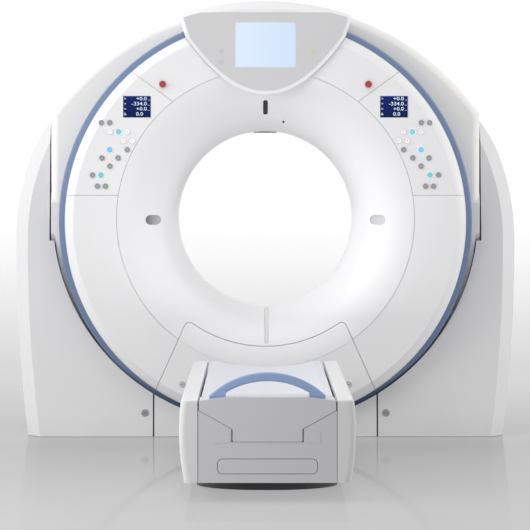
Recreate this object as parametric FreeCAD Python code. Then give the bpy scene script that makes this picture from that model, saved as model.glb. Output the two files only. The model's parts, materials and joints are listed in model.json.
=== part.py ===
import FreeCAD, Part
import math
import os

from FreeCAD import Vector

# Tilting computed-tomography scanner: a ring gantry on two stands, and a lifting patient couch.
# Millimetres.  The origin is the isocentre.  +Y points to the back of the gantry, +Z up, and the couch
# stands on the -Y side.

# ---- driving dimensions ---------------------------------------------------------------------------
FLOOR = -965.0                 # floor below the isocentre
SKIN = 5.0                     # moulded cover thickness
SEAM = 1.5                     # gap between two covers of one body

BORE_R = 390.0                 # radius of the patient opening
LINER_HALF = 59.0              # half length of the straight bore liner
MOUTH_Y = 60.0                 # where each funnel meets the liner
FACE_Y = 340.0                 # front and rear faces of the tilting covers
FUNNEL_R = 655.0               # seam between the funnel and the flat ring face
RIM_DROP = 15.0                # the outer rings are centred this far below the bore
FACE_R = 846.0                 # where the flat ring face starts to round over
RIM_R = 886.0                  # outer edge of the rounding
RIM_Y = 262.0
ACCENT_R = 922.0               # outer edge of the coloured ring
SHELL_Y = 150.0                # front and rear faces of the outer shell
SHELL_SIDE = 956.0             # flat sides of the outer shell
SHELL_R = 953.0                # spherical belly that swings inside the stands
TOP_R = 1178.0                 # crown of the outer shell
TOP_DROP = 221.0               # its centre below the isocentre
SHELL_EDGE = 36.0              # rounding of the shell edges
HUB_R = 165.0                  # round boss on each side of the shell, about the tilt axis
HUB_ROOM = 172.0               # and the pocket that the stands leave for it

STAND_INNER = 963.0            # inner wall of the side stands
STAND_CLEAR = 960.0            # spherical clearance cut in the stands
STAND_TOP = 440.0
STAND_WIDE = 1117.0            # widest point of the stands, at STAND_WIDE_Z
STAND_WIDE_Z = -80.0
STAND_FOOT = 1055.0            # half width of the stands at the floor
STAND_R = 1030.0               # shoulder radius
STAND_FOOT_Y = 300.0           # half depth of the stands at the floor
STAND_TOP_Y = 70.0             # half depth of the stands at their top
STAND_BEVEL = 87.0             # bevelled strip on the outer edges, seen from the front
STAND_BEVEL_Y = 58.0           # and its depth
BASE_HALF = 495.0              # joint between the stand covers and the centre cover
COVER_GAP = 1.5                # covers stay this far above the floor
BASE_SEAM = 7.0                # shadow gap beside the centre cover
SHOULDER_Z = -100.0            # the stands reach inwards only below this height
BELLY_ROOM = 12.0              # the base frame keeps this far outside the stand clearance

TRUNNION_R = 55.0
RUNNING = 0.05                 # radial running clearance

COUCH_FOOT = -3105.0           # free end of the couch
COUCH_HEAD = -735.0            # end next to the gantry
COUCH_TOP = 361.0              # rail height above the floor
COUCH_LOW = 67.0               # lower edge of the couch covers above the floor
COUCH_HALF = 307.0
CHANNEL = 246.0                # half width of the channel between the side covers
LIFT_FRONT = -1880.0           # the telescopic skirts stand between these two
LIFT_BACK = -960.0


# ---- helpers --------------------------------------------------------------------------------------
def box(x, y, z):
    """A box between three pairs of limits."""
    size = [b - a for a, b in (x, y, z)]
    return Part.makeBox(size[0], size[1], size[2], Vector(x[0], y[0], z[0]))


def rod(radius, start, direction, length):
    return Part.makeCylinder(radius, length, Vector(*start), Vector(*direction))


def fuse(shapes):
    joined = shapes[0]
    for shape in shapes[1:]:
        joined = joined.fuse(shape)
    return joined.removeSplitter()


def cut(shape, tools):
    for tool in tools:
        shape = shape.cut(tool)
    return shape


def both_sides(shape):
    """The shape and its mirror image in the YZ plane."""
    return Part.makeCompound([shape, left(shape)])


def left(shape):
    return shape.mirror(Vector(0, 0, 0), Vector(1, 0, 0))


def behind(shape):
    return shape.mirror(Vector(0, 0, 0), Vector(0, 1, 0))


def rounded(corners):
    """Edges of a closed outline from (u, v, radius) corners; every radius is a tangent arc."""
    count = len(corners)
    spans = []
    for i, (u, v, radius) in enumerate(corners):
        here = Vector(u, v, 0)
        if radius == 0:
            spans.append((here, None, here))
            continue
        before = Vector(corners[i - 1][0], corners[i - 1][1], 0) - here
        after = Vector(corners[(i + 1) % count][0], corners[(i + 1) % count][1], 0) - here
        before.normalize()
        after.normalize()
        half = before.getAngle(after) / 2
        reach = radius / math.tan(half)
        middle = before + after
        middle.normalize()
        crown = here + middle * (radius / math.sin(half) - radius)
        spans.append((here + before * reach, crown, here + after * reach))
    edges = []
    for i, (start, crown, end) in enumerate(spans):
        if crown is not None:
            edges.append(Part.Arc(start, crown, end).toShape())
        following = spans[(i + 1) % count][0]
        if (following - end).Length > 1e-6:
            edges.append(Part.LineSegment(end, following).toShape())
    return edges


def xz_face(edges):
    """A face in the XZ plane from edges drawn in (x, z)."""
    face = Part.Face(Part.Wire(Part.__sortEdges__(edges)))
    face.rotate(Vector(0, 0, 0), Vector(1, 0, 0), 90)
    return face


def slab(edges, y):
    """The outline, drawn in (x, z), extruded between two Y limits."""
    face = xz_face(edges)
    face.translate(Vector(0, y[0], 0))
    return face.extrude(Vector(0, y[1] - y[0], 0))


def polygon(points):
    return rounded([(u, v, 0) for u, v in points])


def turned(edges, drop=0.0):
    """A profile drawn in (radius, y), turned about the bore axis or an axis below it."""
    solid = Part.Face(Part.Wire(Part.__sortEdges__(edges))).revolve(Vector(0, 0, 0), Vector(0, 1, 0), 360)
    solid.translate(Vector(0, 0, -drop))
    return solid


def line(a, b):
    return Part.LineSegment(Vector(a[0], a[1], 0), Vector(b[0], b[1], 0)).toShape()


def arc(a, middle, b):
    ends = [Vector(p[0], p[1], 0) for p in (a, middle, b)]
    return Part.Arc(*ends).toShape()


def band(inner, outer, y, drop=0.0):
    """A plain ring between two radii."""
    return turned(polygon([(inner, y[0]), (outer, y[0]), (outer, y[1]), (inner, y[1])]), drop)


# ---- tilting covers -------------------------------------------------------------------------------
FLARE_R = ((FUNNEL_R - BORE_R) ** 2 + (FACE_Y - MOUTH_Y) ** 2) / (2 * (FUNNEL_R - BORE_R))
FLARE_X = BORE_R + FLARE_R     # centre of the funnel's arc, at y = -MOUTH_Y
FLARE_TURN = math.acos((FLARE_X - FUNNEL_R) / FLARE_R)
THROUGH_FRONT = (-500, -100)   # a cut between these passes through every front cover
FACE_INNER = 600.0             # the flat ring is drawn from here and trimmed at the seam


def flare_point(radius, turn):
    return (FLARE_X - radius * math.cos(turn), -MOUTH_Y - radius * math.sin(turn))


def funnel_skin():
    """Trumpet from the liner out to the seam, tangent to the bore."""
    outer = [flare_point(FLARE_R, FLARE_TURN * t / 2) for t in range(3)]
    inner = [flare_point(FLARE_R - SKIN, FLARE_TURN * t / 2) for t in range(3)]
    return turned([
        arc(*outer),
        line(outer[2], inner[2]),
        arc(*reversed(inner)),
        line(inner[0], outer[0]),
    ])


def face_skin():
    """Flat ring face with its rounded rim."""
    shape = turned([
        line((FACE_INNER, -FACE_Y), (FACE_R, -FACE_Y)),
        arc((FACE_R, -FACE_Y), (RIM_R - 13, -318), (RIM_R, -RIM_Y)),
        line((RIM_R, -RIM_Y), (RIM_R - SKIN, -RIM_Y)),
        arc((RIM_R - SKIN, -RIM_Y), (RIM_R - 18, -314), (FACE_R - 1, SKIN - FACE_Y)),
        line((FACE_R - 1, SKIN - FACE_Y), (FACE_INNER, SKIN - FACE_Y)),
        line((FACE_INNER, SKIN - FACE_Y), (FACE_INNER, -FACE_Y)),
    ], RIM_DROP)
    return shape.cut(rod(FUNNEL_R, (0, -400, 0), (0, 1, 0), 200))


CONSOLE_RIM = 16.0             # pale border round the console's grey face
CONSOLE_FRONT = -FACE_Y - 12   # the console stands this far out
CONSOLE_CROWN = 40.0           # rounding of its top front edge
CONSOLE_KINK = 875.0           # its sides turn upright at this height
CONSOLE_WALL = SKIN + 4
FACE_PLATE_TOP = 905.0         # the grey face ends here, below the crown
SCREEN = ((-131, 131), (666, 861))


def console_outline(inset=0.0):
    """Shield-shaped console: a parabola below, the crown of the shell above."""
    low = 546 + inset
    half = 351 - inset
    side = 797 + inset * 0.4
    wide = 376 - inset
    crown_r = TOP_R - inset
    end_z = math.sqrt(crown_r ** 2 - wide ** 2) - TOP_DROP
    curve = Part.BezierCurve()
    curve.setPoles([Vector(-half, side, 0), Vector(0, 2 * low - side, 0), Vector(half, side, 0)])
    return [
        curve.toShape(),
        line((half, side), (wide, CONSOLE_KINK)),
        line((wide, CONSOLE_KINK), (wide, end_z)),
        arc((wide, end_z), (0, crown_r - TOP_DROP), (-wide, end_z)),
        line((-wide, end_z), (-wide, CONSOLE_KINK)),
        line((-wide, CONSOLE_KINK), (-half, side)),
    ]


def wedge_outline(inset=0.0):
    """Control panel field on the right, from the seam out past the rim."""
    low = 102 + inset
    slide = inset * 1.24
    return polygon([(300, low), (1000, low), (1000, 947.5 - slide), (300, 437.6 - slide)])


ACCESS_R = 562.0               # the service panel's top edge runs round the bore at this radius
ACCESS_GAP = 2.2               # gap round the service panel


def access_prism(inset=0.0):
    """Service panel below the bore: a hollow top edge between two rounded horns."""
    low = -1020
    corner = (358 - inset, -472)
    slope = 0.4508
    side = corner[0] + slope * (corner[1] - low)
    top_side = corner[0] + slope * (corner[1] + 300)
    block = slab(polygon([(-top_side, -300), (top_side, -300), (side, low), (-side, low)]), THROUGH_FRONT)
    block = block.cut(rod(ACCESS_R + inset, (0, -600, 0), (0, 1, 0), 600))
    block = block.common(box((-700, 700), (-600, 0), (-1100, -400)))
    horns = [e for e in block.Edges if e.BoundBox.YLength > 300 and e.BoundBox.ZMin > -500]
    return block.makeFillet(24 - inset, horns)


WINDOW_SPOTS = (
    ((463, 529), (-27.5, 15.5), 21),
    ((-529, -463), (-27.5, 15.5), 21),
    ((-10.5, 10.5), (460, 522), 8),
    ((-4, 14), (-552, -400), 6),
)


def window_prism(spot, inset):
    (x0, x1), (z0, z1), radius = spot
    corners = [
        (x0 + inset, z0 + inset, radius - inset), (x1 - inset, z0 + inset, radius - inset),
        (x1 - inset, z1 - inset, radius - inset), (x0 + inset, z1 - inset, radius - inset),
    ]
    return slab(rounded(corners), (-FACE_Y, -MOUTH_Y))


KEY_R = 11.5
KEYS = (
    (722, 422), (685, 422), (683, 382), (646, 382), (607, 382), (625, 342), (586, 342), (685, 303),
    (608, 303), (719, 267), (648, 267), (684, 231), (761, 192), (724, 192), (739, 143), (704, 143),
)
DISPLAY = ((504, 626), (444.5, 539.5))
STOP_SPOT = (452, 591)
STOP_STEM = 8.0
PANEL_LOCK = (366, -730)       # x and z of the quarter-turn caps on the service panel
SIGHT_HOLE = (80, 428)         # small hole for the ambient sensor in the funnel


def panel_tools():
    """Cut-outs of the right control panel: the display and one hole for each key."""
    (x0, x1), (z0, z1) = DISPLAY
    tools = [box((x0, x1), (-FACE_Y - 5, -FACE_Y + 20), (z0, z1))]
    for x, z in KEYS:
        tools.append(rod(KEY_R + 0.5, (x, -FACE_Y - 5, z), (0, 1, 0), 20))
    return tools


def keypad():
    """One sealed key mat: raised pads on a common sheet behind the panel."""
    sheet = slab(rounded([(570, 125, 20), (790, 125, 20), (790, 440, 20), (570, 440, 20)]),
                 (SKIN - FACE_Y, SKIN - FACE_Y + 3))
    flat = rod(FACE_R - 8, (0, -FACE_Y, -RIM_DROP), (0, 1, 0), 20)
    sheet = sheet.common(band(FUNNEL_R + 8, FACE_R, (-FACE_Y, -FACE_Y + 20))).common(flat)
    (x0, x1), (z0, z1) = DISPLAY
    sheet = sheet.cut(box((x0 - 10, x1 + 4), (-400, -300), (z0 - 4, z1 + 4)))
    pads = [rod(KEY_R, (x, -FACE_Y - 1.5, z), (0, 1, 0), SKIN + 2) for x, z in KEYS]
    return fuse([sheet] + pads)


def display():
    (x0, x1), (z0, z1) = DISPLAY
    return box((x0 + 0.5, x1 - 0.5), (-FACE_Y - 0.6, -FACE_Y + 14), (z0 + 0.5, z1 - 0.5))


def front_covers():
    """Every cover of the front face, cut from one skin so that the seams are even."""
    face = face_skin()
    funnel = funnel_skin()
    console = slab(console_outline(-SEAM), THROUGH_FRONT)
    access = access_prism()
    wedge = slab(wedge_outline(), THROUGH_FRONT)
    whole_seam = band(FUNNEL_R, FUNNEL_R + SEAM, (-360, -300))
    stops = both_sides(rod(STOP_STEM + RUNNING, (STOP_SPOT[0], -400, STOP_SPOT[1]), (0, 1, 0), 100))
    cover = cut(face, [console, access, wedge, left(wedge), whole_seam, stops])
    plain_funnel = cut(funnel, [access] + [window_prism(spot, 0.0) for spot in WINDOW_SPOTS])
    plain_funnel = plain_funnel.cut(rod(5, (SIGHT_HOLE[0], -400, SIGHT_HOLE[1]), (0, 1, 0), 380))
    panel = face.common(slab(wedge_outline(SEAM), THROUGH_FRONT))
    panel = cut(panel, panel_tools() + [whole_seam])
    service = face.fuse(funnel).common(access_prism(ACCESS_GAP))
    service = service.cut(band(FUNNEL_R, FUNNEL_R + SEAM, (-FACE_Y - 1, -FACE_Y + 2)))
    sunk = funnel.copy()
    sunk.translate(Vector(0, 4, 0))
    windows = [sunk.common(window_prism(spot, 0.5)) for spot in WINDOW_SPOTS]
    lock_x, lock_z = PANEL_LOCK
    lock = [rod(13, (x, -FACE_Y - 2, lock_z), (0, 1, 0), SKIN + 2) for x in (-lock_x, lock_x)]
    service = cut(service, lock)
    return {
        "front_cover": cover,
        "front_funnel": plain_funnel,
        "control_panel_right": panel,
        "control_panel_left": left(panel),
        "lower_access_panel": service,
        "positioning_windows": Part.makeCompound(windows),
        "panel_lock_caps": Part.makeCompound(lock),
        "keypads": both_sides(keypad()),
        "panel_displays": both_sides(display()),
    }


def accent_ring():
    """Coloured ring: a band that faces forward beside the rim, then turns back to the shell."""
    front = -RIM_Y + 2
    profile = rounded([
        (RIM_R - 2, front, 0), (ACCENT_R - 8, front + 14, 16), (ACCENT_R, -SHELL_Y, 0),
        (ACCENT_R - 6, -SHELL_Y, 0), (ACCENT_R - 14, front + 20, 10), (RIM_R - 8, front + 6, 0),
        (RIM_R - 8, front, 0),
    ])
    return turned(profile, RIM_DROP).cut(slab(console_outline(-SEAM), THROUGH_FRONT))


def shell_solids(inset):
    """The tilting outer body: a crowned slab above the axis, a spherical belly below it, and the hubs."""
    side = SHELL_SIDE - inset
    top = TOP_R - inset
    corner_z = math.sqrt(top ** 2 - side ** 2) - TOP_DROP
    depth = SHELL_Y - inset
    upper = slab([
        line((-side, 0), (side, 0)),
        line((side, 0), (side, corner_z)),
        arc((side, corner_z), (0, top - TOP_DROP), (-side, corner_z)),
        line((-side, corner_z), (-side, 0)),
    ], (-depth, depth))
    edges = [e for e in upper.Edges
             if abs(abs(e.BoundBox.YMin) - depth) < 1 and e.BoundBox.YLength < 1 and e.BoundBox.ZMax > 1]
    upper = upper.makeFillet(SHELL_EDGE, edges)
    belly = Part.makeSphere(SHELL_R - inset)
    hub = rod(HUB_R - inset, (-side, 0, 0), (1, 0, 0), 2 * side)
    between = ((-1000, 1000), (-depth, depth))
    return upper, belly.common(box(*between, (-1000, 0))), hub.common(box(*between, (-HUB_R, HUB_R)))


def outer_shell():
    opening = rod(ACCENT_R - 5, (0, -200, -RIM_DROP), (0, 1, 0), 400)
    shell = cut(fuse(shell_solids(0)), [*shell_solids(6), opening])
    console = slab(console_outline(-SEAM), (-200, -108))
    shafts = rod(TRUNNION_R + 8, (-1000, 0, 0), (1, 0, 0), 2000)
    cap = slab(rounded([(688, 716, 4), (700, 716, 4), (700, 724, 4), (688, 724, 4)]), (-160, -140))
    return cut(shell, [console, shafts, cap])


def under_covers():
    """The space behind the front covers, which the console housing must leave free."""
    flare = [flare_point(FLARE_R + 0.5, FLARE_TURN * t / 2) for t in range(3)]
    under_face = 12 - FACE_Y
    side = FACE_R + 16
    return turned([
        arc(*flare),
        line(flare[2], (FUNNEL_R + SEAM, under_face)),
        line((FUNNEL_R + SEAM, under_face), (FACE_R, under_face)),
        line((FACE_R, under_face), (side, -300)),
        line((side, -300), (side, -MOUTH_Y)),
        line((side, -MOUTH_Y), flare[0]),
    ])


def screen_room():
    """The cut-out for the screen, from the console front inwards."""
    across, up = SCREEN
    return box(across, (-400, -300), up)


def console_block(inset, y, crown):
    """The console's full outline with a rounded top front edge."""
    shape = slab(console_outline(inset), y)
    front = [e for e in shape.Edges if e.BoundBox.YLength < 0.1 and abs(e.BoundBox.YMin - y[0]) < 0.1]
    return shape.makeFillet(crown, [e for e in front if e.BoundBox.ZMin > CONSOLE_KINK - 5])


def console_plate(inset, y, top):
    """The field of the console that is framed by its pale border."""
    return slab(console_outline(inset), y).cut(box((-400, 400), (-400, -300), (top, TOP_R)))


def console_hood():
    """Housing of the top display, from the front face back onto the shell."""
    body = console_block(0, (CONSOLE_FRONT, -110), CONSOLE_CROWN)
    hollow = console_block(SKIN, (CONSOLE_FRONT + CONSOLE_WALL, -100), CONSOLE_CROWN - CONSOLE_WALL)
    recess = console_plate(CONSOLE_RIM, (CONSOLE_FRONT - 8, CONSOLE_FRONT + 3), FACE_PLATE_TOP)
    return cut(body, [hollow, recess, screen_room(), under_covers()])


def console_face():
    plate = console_plate(CONSOLE_RIM + 0.5, (CONSOLE_FRONT + 0.5, CONSOLE_FRONT + 3), FACE_PLATE_TOP - 0.5)
    return plate.cut(screen_room())


def console_screen():
    (x0, x1), (z0, z1) = SCREEN
    return box((x0 + 0.5, x1 - 0.5), (CONSOLE_FRONT + 1.5, CONSOLE_FRONT + 32), (z0 + 0.5, z1 - 0.5))


def rear_skin():
    """Back of the tilting body: flat face, rounded rim and chamfer in one moulding."""
    shape = turned([
        line((FACE_INNER, FACE_Y), (FACE_R, FACE_Y)),
        arc((FACE_R, FACE_Y), (RIM_R - 13, 318), (RIM_R, RIM_Y)),
        line((RIM_R, RIM_Y), (ACCENT_R, SHELL_Y)),
        line((ACCENT_R, SHELL_Y), (ACCENT_R - 6, SHELL_Y)),
        line((ACCENT_R - 6, SHELL_Y), (RIM_R - SKIN, RIM_Y)),
        arc((RIM_R - SKIN, RIM_Y), (RIM_R - 18, 314), (FACE_R - 1, FACE_Y - SKIN)),
        line((FACE_R - 1, FACE_Y - SKIN), (FACE_INNER, FACE_Y - SKIN)),
        line((FACE_INNER, FACE_Y - SKIN), (FACE_INNER, FACE_Y)),
    ], RIM_DROP)
    return shape.cut(rod(FUNNEL_R + SEAM, (0, 200, 0), (0, 1, 0), 200))


def bore_parts():
    liner = band(BORE_R, BORE_R + 4, (-LINER_HALF, LINER_HALF))
    rear_funnel = behind(funnel_skin())
    tab = slab(rounded([(-57, 383, 8), (57, 383, 8), (57, 470, 8), (-57, 470, 8)]), (90, 104))
    tab = tab.common(rod(405, (0, 0, 0), (0, 1, 0), 300))
    rear_funnel = rear_funnel.cut(tab)
    return {"bore_liner": liner, "rear_funnel": rear_funnel, "bore_intercom": tab}


# ---- gantry interior ------------------------------------------------------------------------------
PLATE_Y = (90, 120)            # rotor plate
BEARING_Y = (125, 161)
BALL_R = 9.0
PITCH_R = 519.0
BALLS = 60
DRUM_R = 820.0                 # outside of the rotating drum
FOCUS_Z = 600.0                # the X-ray focus; the detector curves about it
BELT_R = 655.0                 # belt track on the rotor
BELT_Y = (126, 154)
PULLEY = (-640, -480)          # x and z of the drive pulley
PULLEY_R = 60.0


def race(inner, outer):
    ring = band(inner, outer, BEARING_Y)
    middle = sum(BEARING_Y) / 2
    track = Part.makeTorus(PITCH_R, BALL_R + 0.05, Vector(0, middle, 0), Vector(0, 1, 0))
    return ring.cut(track)


def ball_cage():
    middle = sum(BEARING_Y) / 2
    cage = band(PITCH_R - 2.5, PITCH_R + 2.5, (middle - 13, middle + 13))
    balls = []
    for i in range(BALLS):
        turn = 2 * math.pi * i / BALLS
        centre = Vector(PITCH_R * math.cos(turn), middle, PITCH_R * math.sin(turn))
        balls.append(Part.makeSphere(BALL_R, centre))
    return cage.fuse(balls)


def rotor_parts():
    plate = band(440, DRUM_R, PLATE_Y)
    rim = band(DRUM_R - 20, DRUM_R, (-120, PLATE_Y[1]))
    track = band(BELT_R - 20, BELT_R, (PLATE_Y[1], BELT_Y[1] + 2))
    seat = band(480, 505, (PLATE_Y[1], BEARING_Y[0]))
    drum = fuse([plate, rim, track, seat])
    for i in range(8):
        turn = math.radians(22.5 + 45 * i)
        drum = drum.cut(rod(38, (730 * math.cos(turn), 80, 730 * math.sin(turn)), (0, 1, 0), 60))
    tube_z = FOCUS_Z + 50
    tube = fuse([
        rod(105, (0, -190, tube_z), (0, 1, 0), 280),
        rod(70, (0, -225, tube_z), (0, 1, 0), 35),
        box((-60, 60), (-60, 60), (FOCUS_Z - 70, FOCUS_Z)),
    ])
    collimator = box((-95, 95), (-75, 90), (455, 529)).cut(box((-60, 60), (-12, 12), (440, 540)))
    arc_skin = rod(1130, (0, -85, FOCUS_Z), (0, 1, 0), 175)
    arc_skin = arc_skin.cut(rod(1072, (0, -100, FOCUS_Z), (0, 1, 0), 200))
    fan = slab(polygon([(0, FOCUS_Z), (-560, -600), (560, -600)]), (-90, 90))
    detector = arc_skin.common(fan)
    generator = box((-760, -500), (-110, 90), (-130, 190)).common(
        rod(DRUM_R - 22, (0, -200, 0), (0, 1, 0), 400))
    return {
        "rotor_drum": drum,
        "bearing_inner_race": race(480, PITCH_R - 4),
        "bearing_ball_cage": ball_cage(),
        "xray_tube": tube,
        "beam_collimator": collimator,
        "detector_arc": detector,
        "high_voltage_generator": generator,
        "slip_ring": band(DRUM_R, DRUM_R + 12, (30, 118)),
    }


def tilt_frame():
    """Ring casting behind the rotor, with an arm and a trunnion on each side."""
    ring = band(560, 875, (162, 205))
    knee = box((835, 880), (122, 205), (-90, 90))
    arm = knee.fuse(box((850, 925), (-75, 140), (-95, 95)))
    trunnion = rod(TRUNNION_R, (900, 0, 0), (1, 0, 0), 192)
    frame = fuse([ring, arm, left(arm), trunnion, left(trunnion)])
    motor_hole = rod(30, (PULLEY[0], 150, PULLEY[1]), (0, 1, 0), 80)
    return frame.cut(motor_hole)


def belt():
    """Flat belt round the rotor track and the pulley."""
    gap = math.hypot(*PULLEY)
    heading = math.atan2(PULLEY[1], PULLEY[0])
    lean = math.acos((BELT_R - PULLEY_R) / gap)

    def loop(extra):
        big = BELT_R + RUNNING + extra
        small = PULLEY_R + RUNNING + extra

        def on(radius, turn, centre):
            return (centre[0] + radius * math.cos(turn), centre[1] + radius * math.sin(turn))
        a = on(big, heading + lean, (0, 0))
        b = on(small, heading + lean, PULLEY)
        c = on(small, heading - lean, PULLEY)
        d = on(big, heading - lean, (0, 0))
        far = on(big, heading + math.pi, (0, 0))
        near = on(small, heading, PULLEY)
        return slab([line(a, b), arc(b, near, c), line(c, d), arc(d, far, a)], BELT_Y)
    return loop(4.0).cut(loop(0.0))


def drive_parts():
    x, z = PULLEY
    pulley = fuse([
        rod(PULLEY_R, (x, BELT_Y[0] - 1, z), (0, 1, 0), BELT_Y[1] - BELT_Y[0] + 2),
        rod(14, (x, BELT_Y[1], z), (0, 1, 0), 92),
    ])
    motor = rod(70, (x, 205, z), (0, 1, 0), 85).cut(rod(14 + RUNNING, (x, 200, z), (0, 1, 0), 60))
    block = box((-40, 40), (30, 110), (832.5, 872)).fuse(box((-40, 40), (110, 162), (850, 872)))
    return {"drive_pulley": pulley, "rotor_motor": motor, "drive_belt": belt(), "brush_block": block}


def stop_button():
    """Red stop button on the right: a domed head on a stem that runs through the cover."""
    x, z = STOP_SPOT
    head = rod(14.5, (x, -FACE_Y - 14, z), (0, 1, 0), 8)
    front = [e for e in head.Edges if e.BoundBox.YMax < -FACE_Y - 13 and e.BoundBox.XLength > 20]
    head = head.makeFillet(3, front)
    return head.fuse(rod(STOP_STEM, (x, -FACE_Y - 7, z), (0, 1, 0), 27))


# ---- stands ---------------------------------------------------------------------------------------
def stand_outline(inset):
    """Front view of the right stand, from the centre cover to the shoulder."""
    wide = STAND_WIDE - inset
    foot = STAND_FOOT - inset
    radius = STAND_R - inset
    centre = STAND_WIDE - STAND_R
    top = STAND_TOP - inset
    rise = top - STAND_WIDE_Z
    end_x = centre + math.sqrt(radius ** 2 - rise ** 2)
    half = math.asin(rise / radius) / 2
    bow = 15.0
    hollow = inset > 0         # the cavity runs out below and towards the centre cover
    bottom = FLOOR - 5 if hollow else FLOOR + COVER_GAP
    side = BASE_HALF - 20 if hollow else BASE_HALF
    return [
        line((side, bottom), (foot, bottom)),
        arc((foot, bottom), ((foot + wide) / 2 + bow, (bottom + STAND_WIDE_Z) / 2), (wide, STAND_WIDE_Z)),
        arc((wide, STAND_WIDE_Z), (centre + radius * math.cos(half), STAND_WIDE_Z + radius * math.sin(half)),
            (end_x, top)),
        line((end_x, top), (side, top)),
        line((side, top), (side, bottom)),
    ]


LEAN = (STAND_FOOT_Y - STAND_TOP_Y) / (STAND_TOP - FLOOR)


def leaned(shape):
    """Shear towards +Y with height, so that a square front face leans back."""
    shear = FreeCAD.Matrix(1, 0, 0, 0, 0, 1, LEAN, -LEAN * FLOOR, 0, 0, 1, 0, 0, 0, 0, 1)
    return shape.transformGeometry(shear)


def stand_half(inset):
    """Front half of the right stand: leaning face, bevelled outer edge, room for the tilting body."""
    face_y = -STAND_FOOT_Y + inset
    block = slab(stand_outline(inset), (face_y, 500))
    outer = [e for e in block.Edges
             if abs(e.BoundBox.YMax - face_y) < 0.01 and e.BoundBox.XMin > 940 and e.BoundBox.ZLength > 200]
    block = leaned(block.makeChamfer(STAND_BEVEL, STAND_BEVEL_Y, outer))
    block = block.common(box((0, 1300), (-400, 0), (-1000, 600)))
    tilt_room = box((0, STAND_INNER + inset), (-500, 500), (SHOULDER_Z - inset, 1000))
    pocket = rod(HUB_ROOM + inset, (0, 0, 0), (1, 0, 0), STAND_INNER + inset)
    return cut(block, [tilt_room, pocket, Part.makeSphere(STAND_CLEAR + inset)])


LOCK_SPOT = (533.0, -861.0)


def stand_parts():
    cover = stand_half(0).cut(stand_half(SKIN))
    halves = box((BASE_HALF + BASE_SEAM / 2, 1200), (-400, -SEAM / 2), (-1000, 600))
    front = cover.common(halves).cut(rod(TRUNNION_R + 25, (900, 0, 0), (1, 0, 0), 90))
    caps = lock_caps()
    centre = base_cover()
    return {
        "stand_cover_front_right": front.cut(caps),
        "stand_cover_front_left": left(front.cut(caps)),
        "stand_cover_rear_right": behind(front),
        "stand_cover_rear_left": behind(left(front)),
        "base_cover_front": centre,
        "base_cover_rear": behind(centre),
        "cover_lock_caps": both_sides(caps),
    }


def lock_caps():
    """Quarter-turn lock cap low on the right stand."""
    x, z = LOCK_SPOT
    y = -STAND_FOOT_Y + LEAN * (z - FLOOR)
    return rod(16.5, (x, y - 3, z), (0, 1, 0), 12)


def base_cover():
    """Low centre cover between the stands, hollow to the swinging belly; open below and at its ends."""
    def solid(inset, half, bottom):
        block = leaned(box((-half, half), (inset - STAND_FOOT_Y, 500), (bottom, -600)))
        block = block.common(box((-half, half), (-400, -190), (-1000, -500)))
        return block.cut(Part.makeSphere(STAND_CLEAR + inset))
    return solid(0, BASE_HALF - BASE_SEAM / 2, FLOOR + COVER_GAP).cut(solid(SKIN, BASE_HALF, FLOOR - 5))


def base_parts():
    plinth = box((560, 1005), (-235, 235), (FLOOR + 10, FLOOR + 105)).cut(
        Part.makeSphere(STAND_CLEAR + BELLY_ROOM))
    beam = box((-600, 600), (-262, -234), (FLOOR + 10, FLOOR + 28))
    column = slab(polygon([(985, FLOOR + 100), (1035, FLOOR + 100), (1088, -84), (1028, -84)]), (-90, 90))
    holes = []
    for x in (700, 900):
        for y in (-180, 180):
            holes.append(rod(9, (x, y, FLOOR), (0, 0, 1), 140))
    right = cut(fuse([plinth, column]), holes)
    frame = fuse([right, left(right), beam, behind(beam)])
    feet = []
    for x in (620, 960):
        for y in (-205, 205):
            pad = rod(38, (x, y, FLOOR), (0, 0, 1), 10)
            feet.append(fuse([pad, rod(12, (x, y, FLOOR + 10), (0, 0, 1), 20)]))
    feet = Part.makeCompound(feet)
    frame = cut(frame, [feet, left(feet)])
    plinth_body, pads = couch_base()
    journal = rod(TRUNNION_R + RUNNING, (960, 0, 0), (1, 0, 0), 140)
    block = box((1032, 1081), (-66, 66), (-84, 72)).cut(journal)
    gearbox = fuse([rod(83, (976, 0, 0), (1, 0, 0), 56), rod(20, (990, 0, -75), (0, 0, -1), 230)])
    gearbox = gearbox.cut(journal)
    return {
        "gantry_base_frame": frame,
        "levelling_feet": Part.makeCompound([feet, left(feet)] + pads),
        "couch_plinth": plinth_body,
        "tilt_bearing_blocks": both_sides(block),
        "tilt_gearbox": gearbox,
    }


# ---- couch ----------------------------------------------------------------------------------------
def at(height):
    """Height above the floor."""
    return FLOOR + height


def couch_slab(points, y):
    """A symmetric outline given by its right half from the bottom up, in (x, height, radius)."""
    right = [(x, at(h), r) for x, h, r in points]
    mirror = [(-x, z, r) for x, z, r in reversed(right)]
    return slab(rounded(right + mirror), y)


SKIRT_HALF = 190.0             # innermost, fixed skirt
SKIRT_STEP = 8.0               # each outer skirt is this much wider
COLUMN_HALF = 48.0             # fixed, innermost column section
COLUMN_STEP = 9.0
COLUMN_SPOTS = (-1650.0, -1190.0)
NEST_LOW = 18.0                # heights between which the telescopic parts nest
NEST_HIGH = 284.0
PLINTH_HALF = 262.0            # half width of the plinth
PLINTH_NOSE = 240.0            # its free end is nearly a half round


def skirt(level):
    """One telescopic cover around the columns; level 0 is the fixed one, inside the others."""
    grow = SKIRT_STEP * level
    half = SKIRT_HALF + grow
    y = (LIFT_FRONT - grow, LIFT_BACK + grow)
    outer = box((-half, half), y, (at(NEST_LOW + 2 * level), at(NEST_HIGH)))
    return outer.cut(box((4 - half, half - 4), (y[0] + 4, y[1] - 4), (at(0), at(900))))


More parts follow.
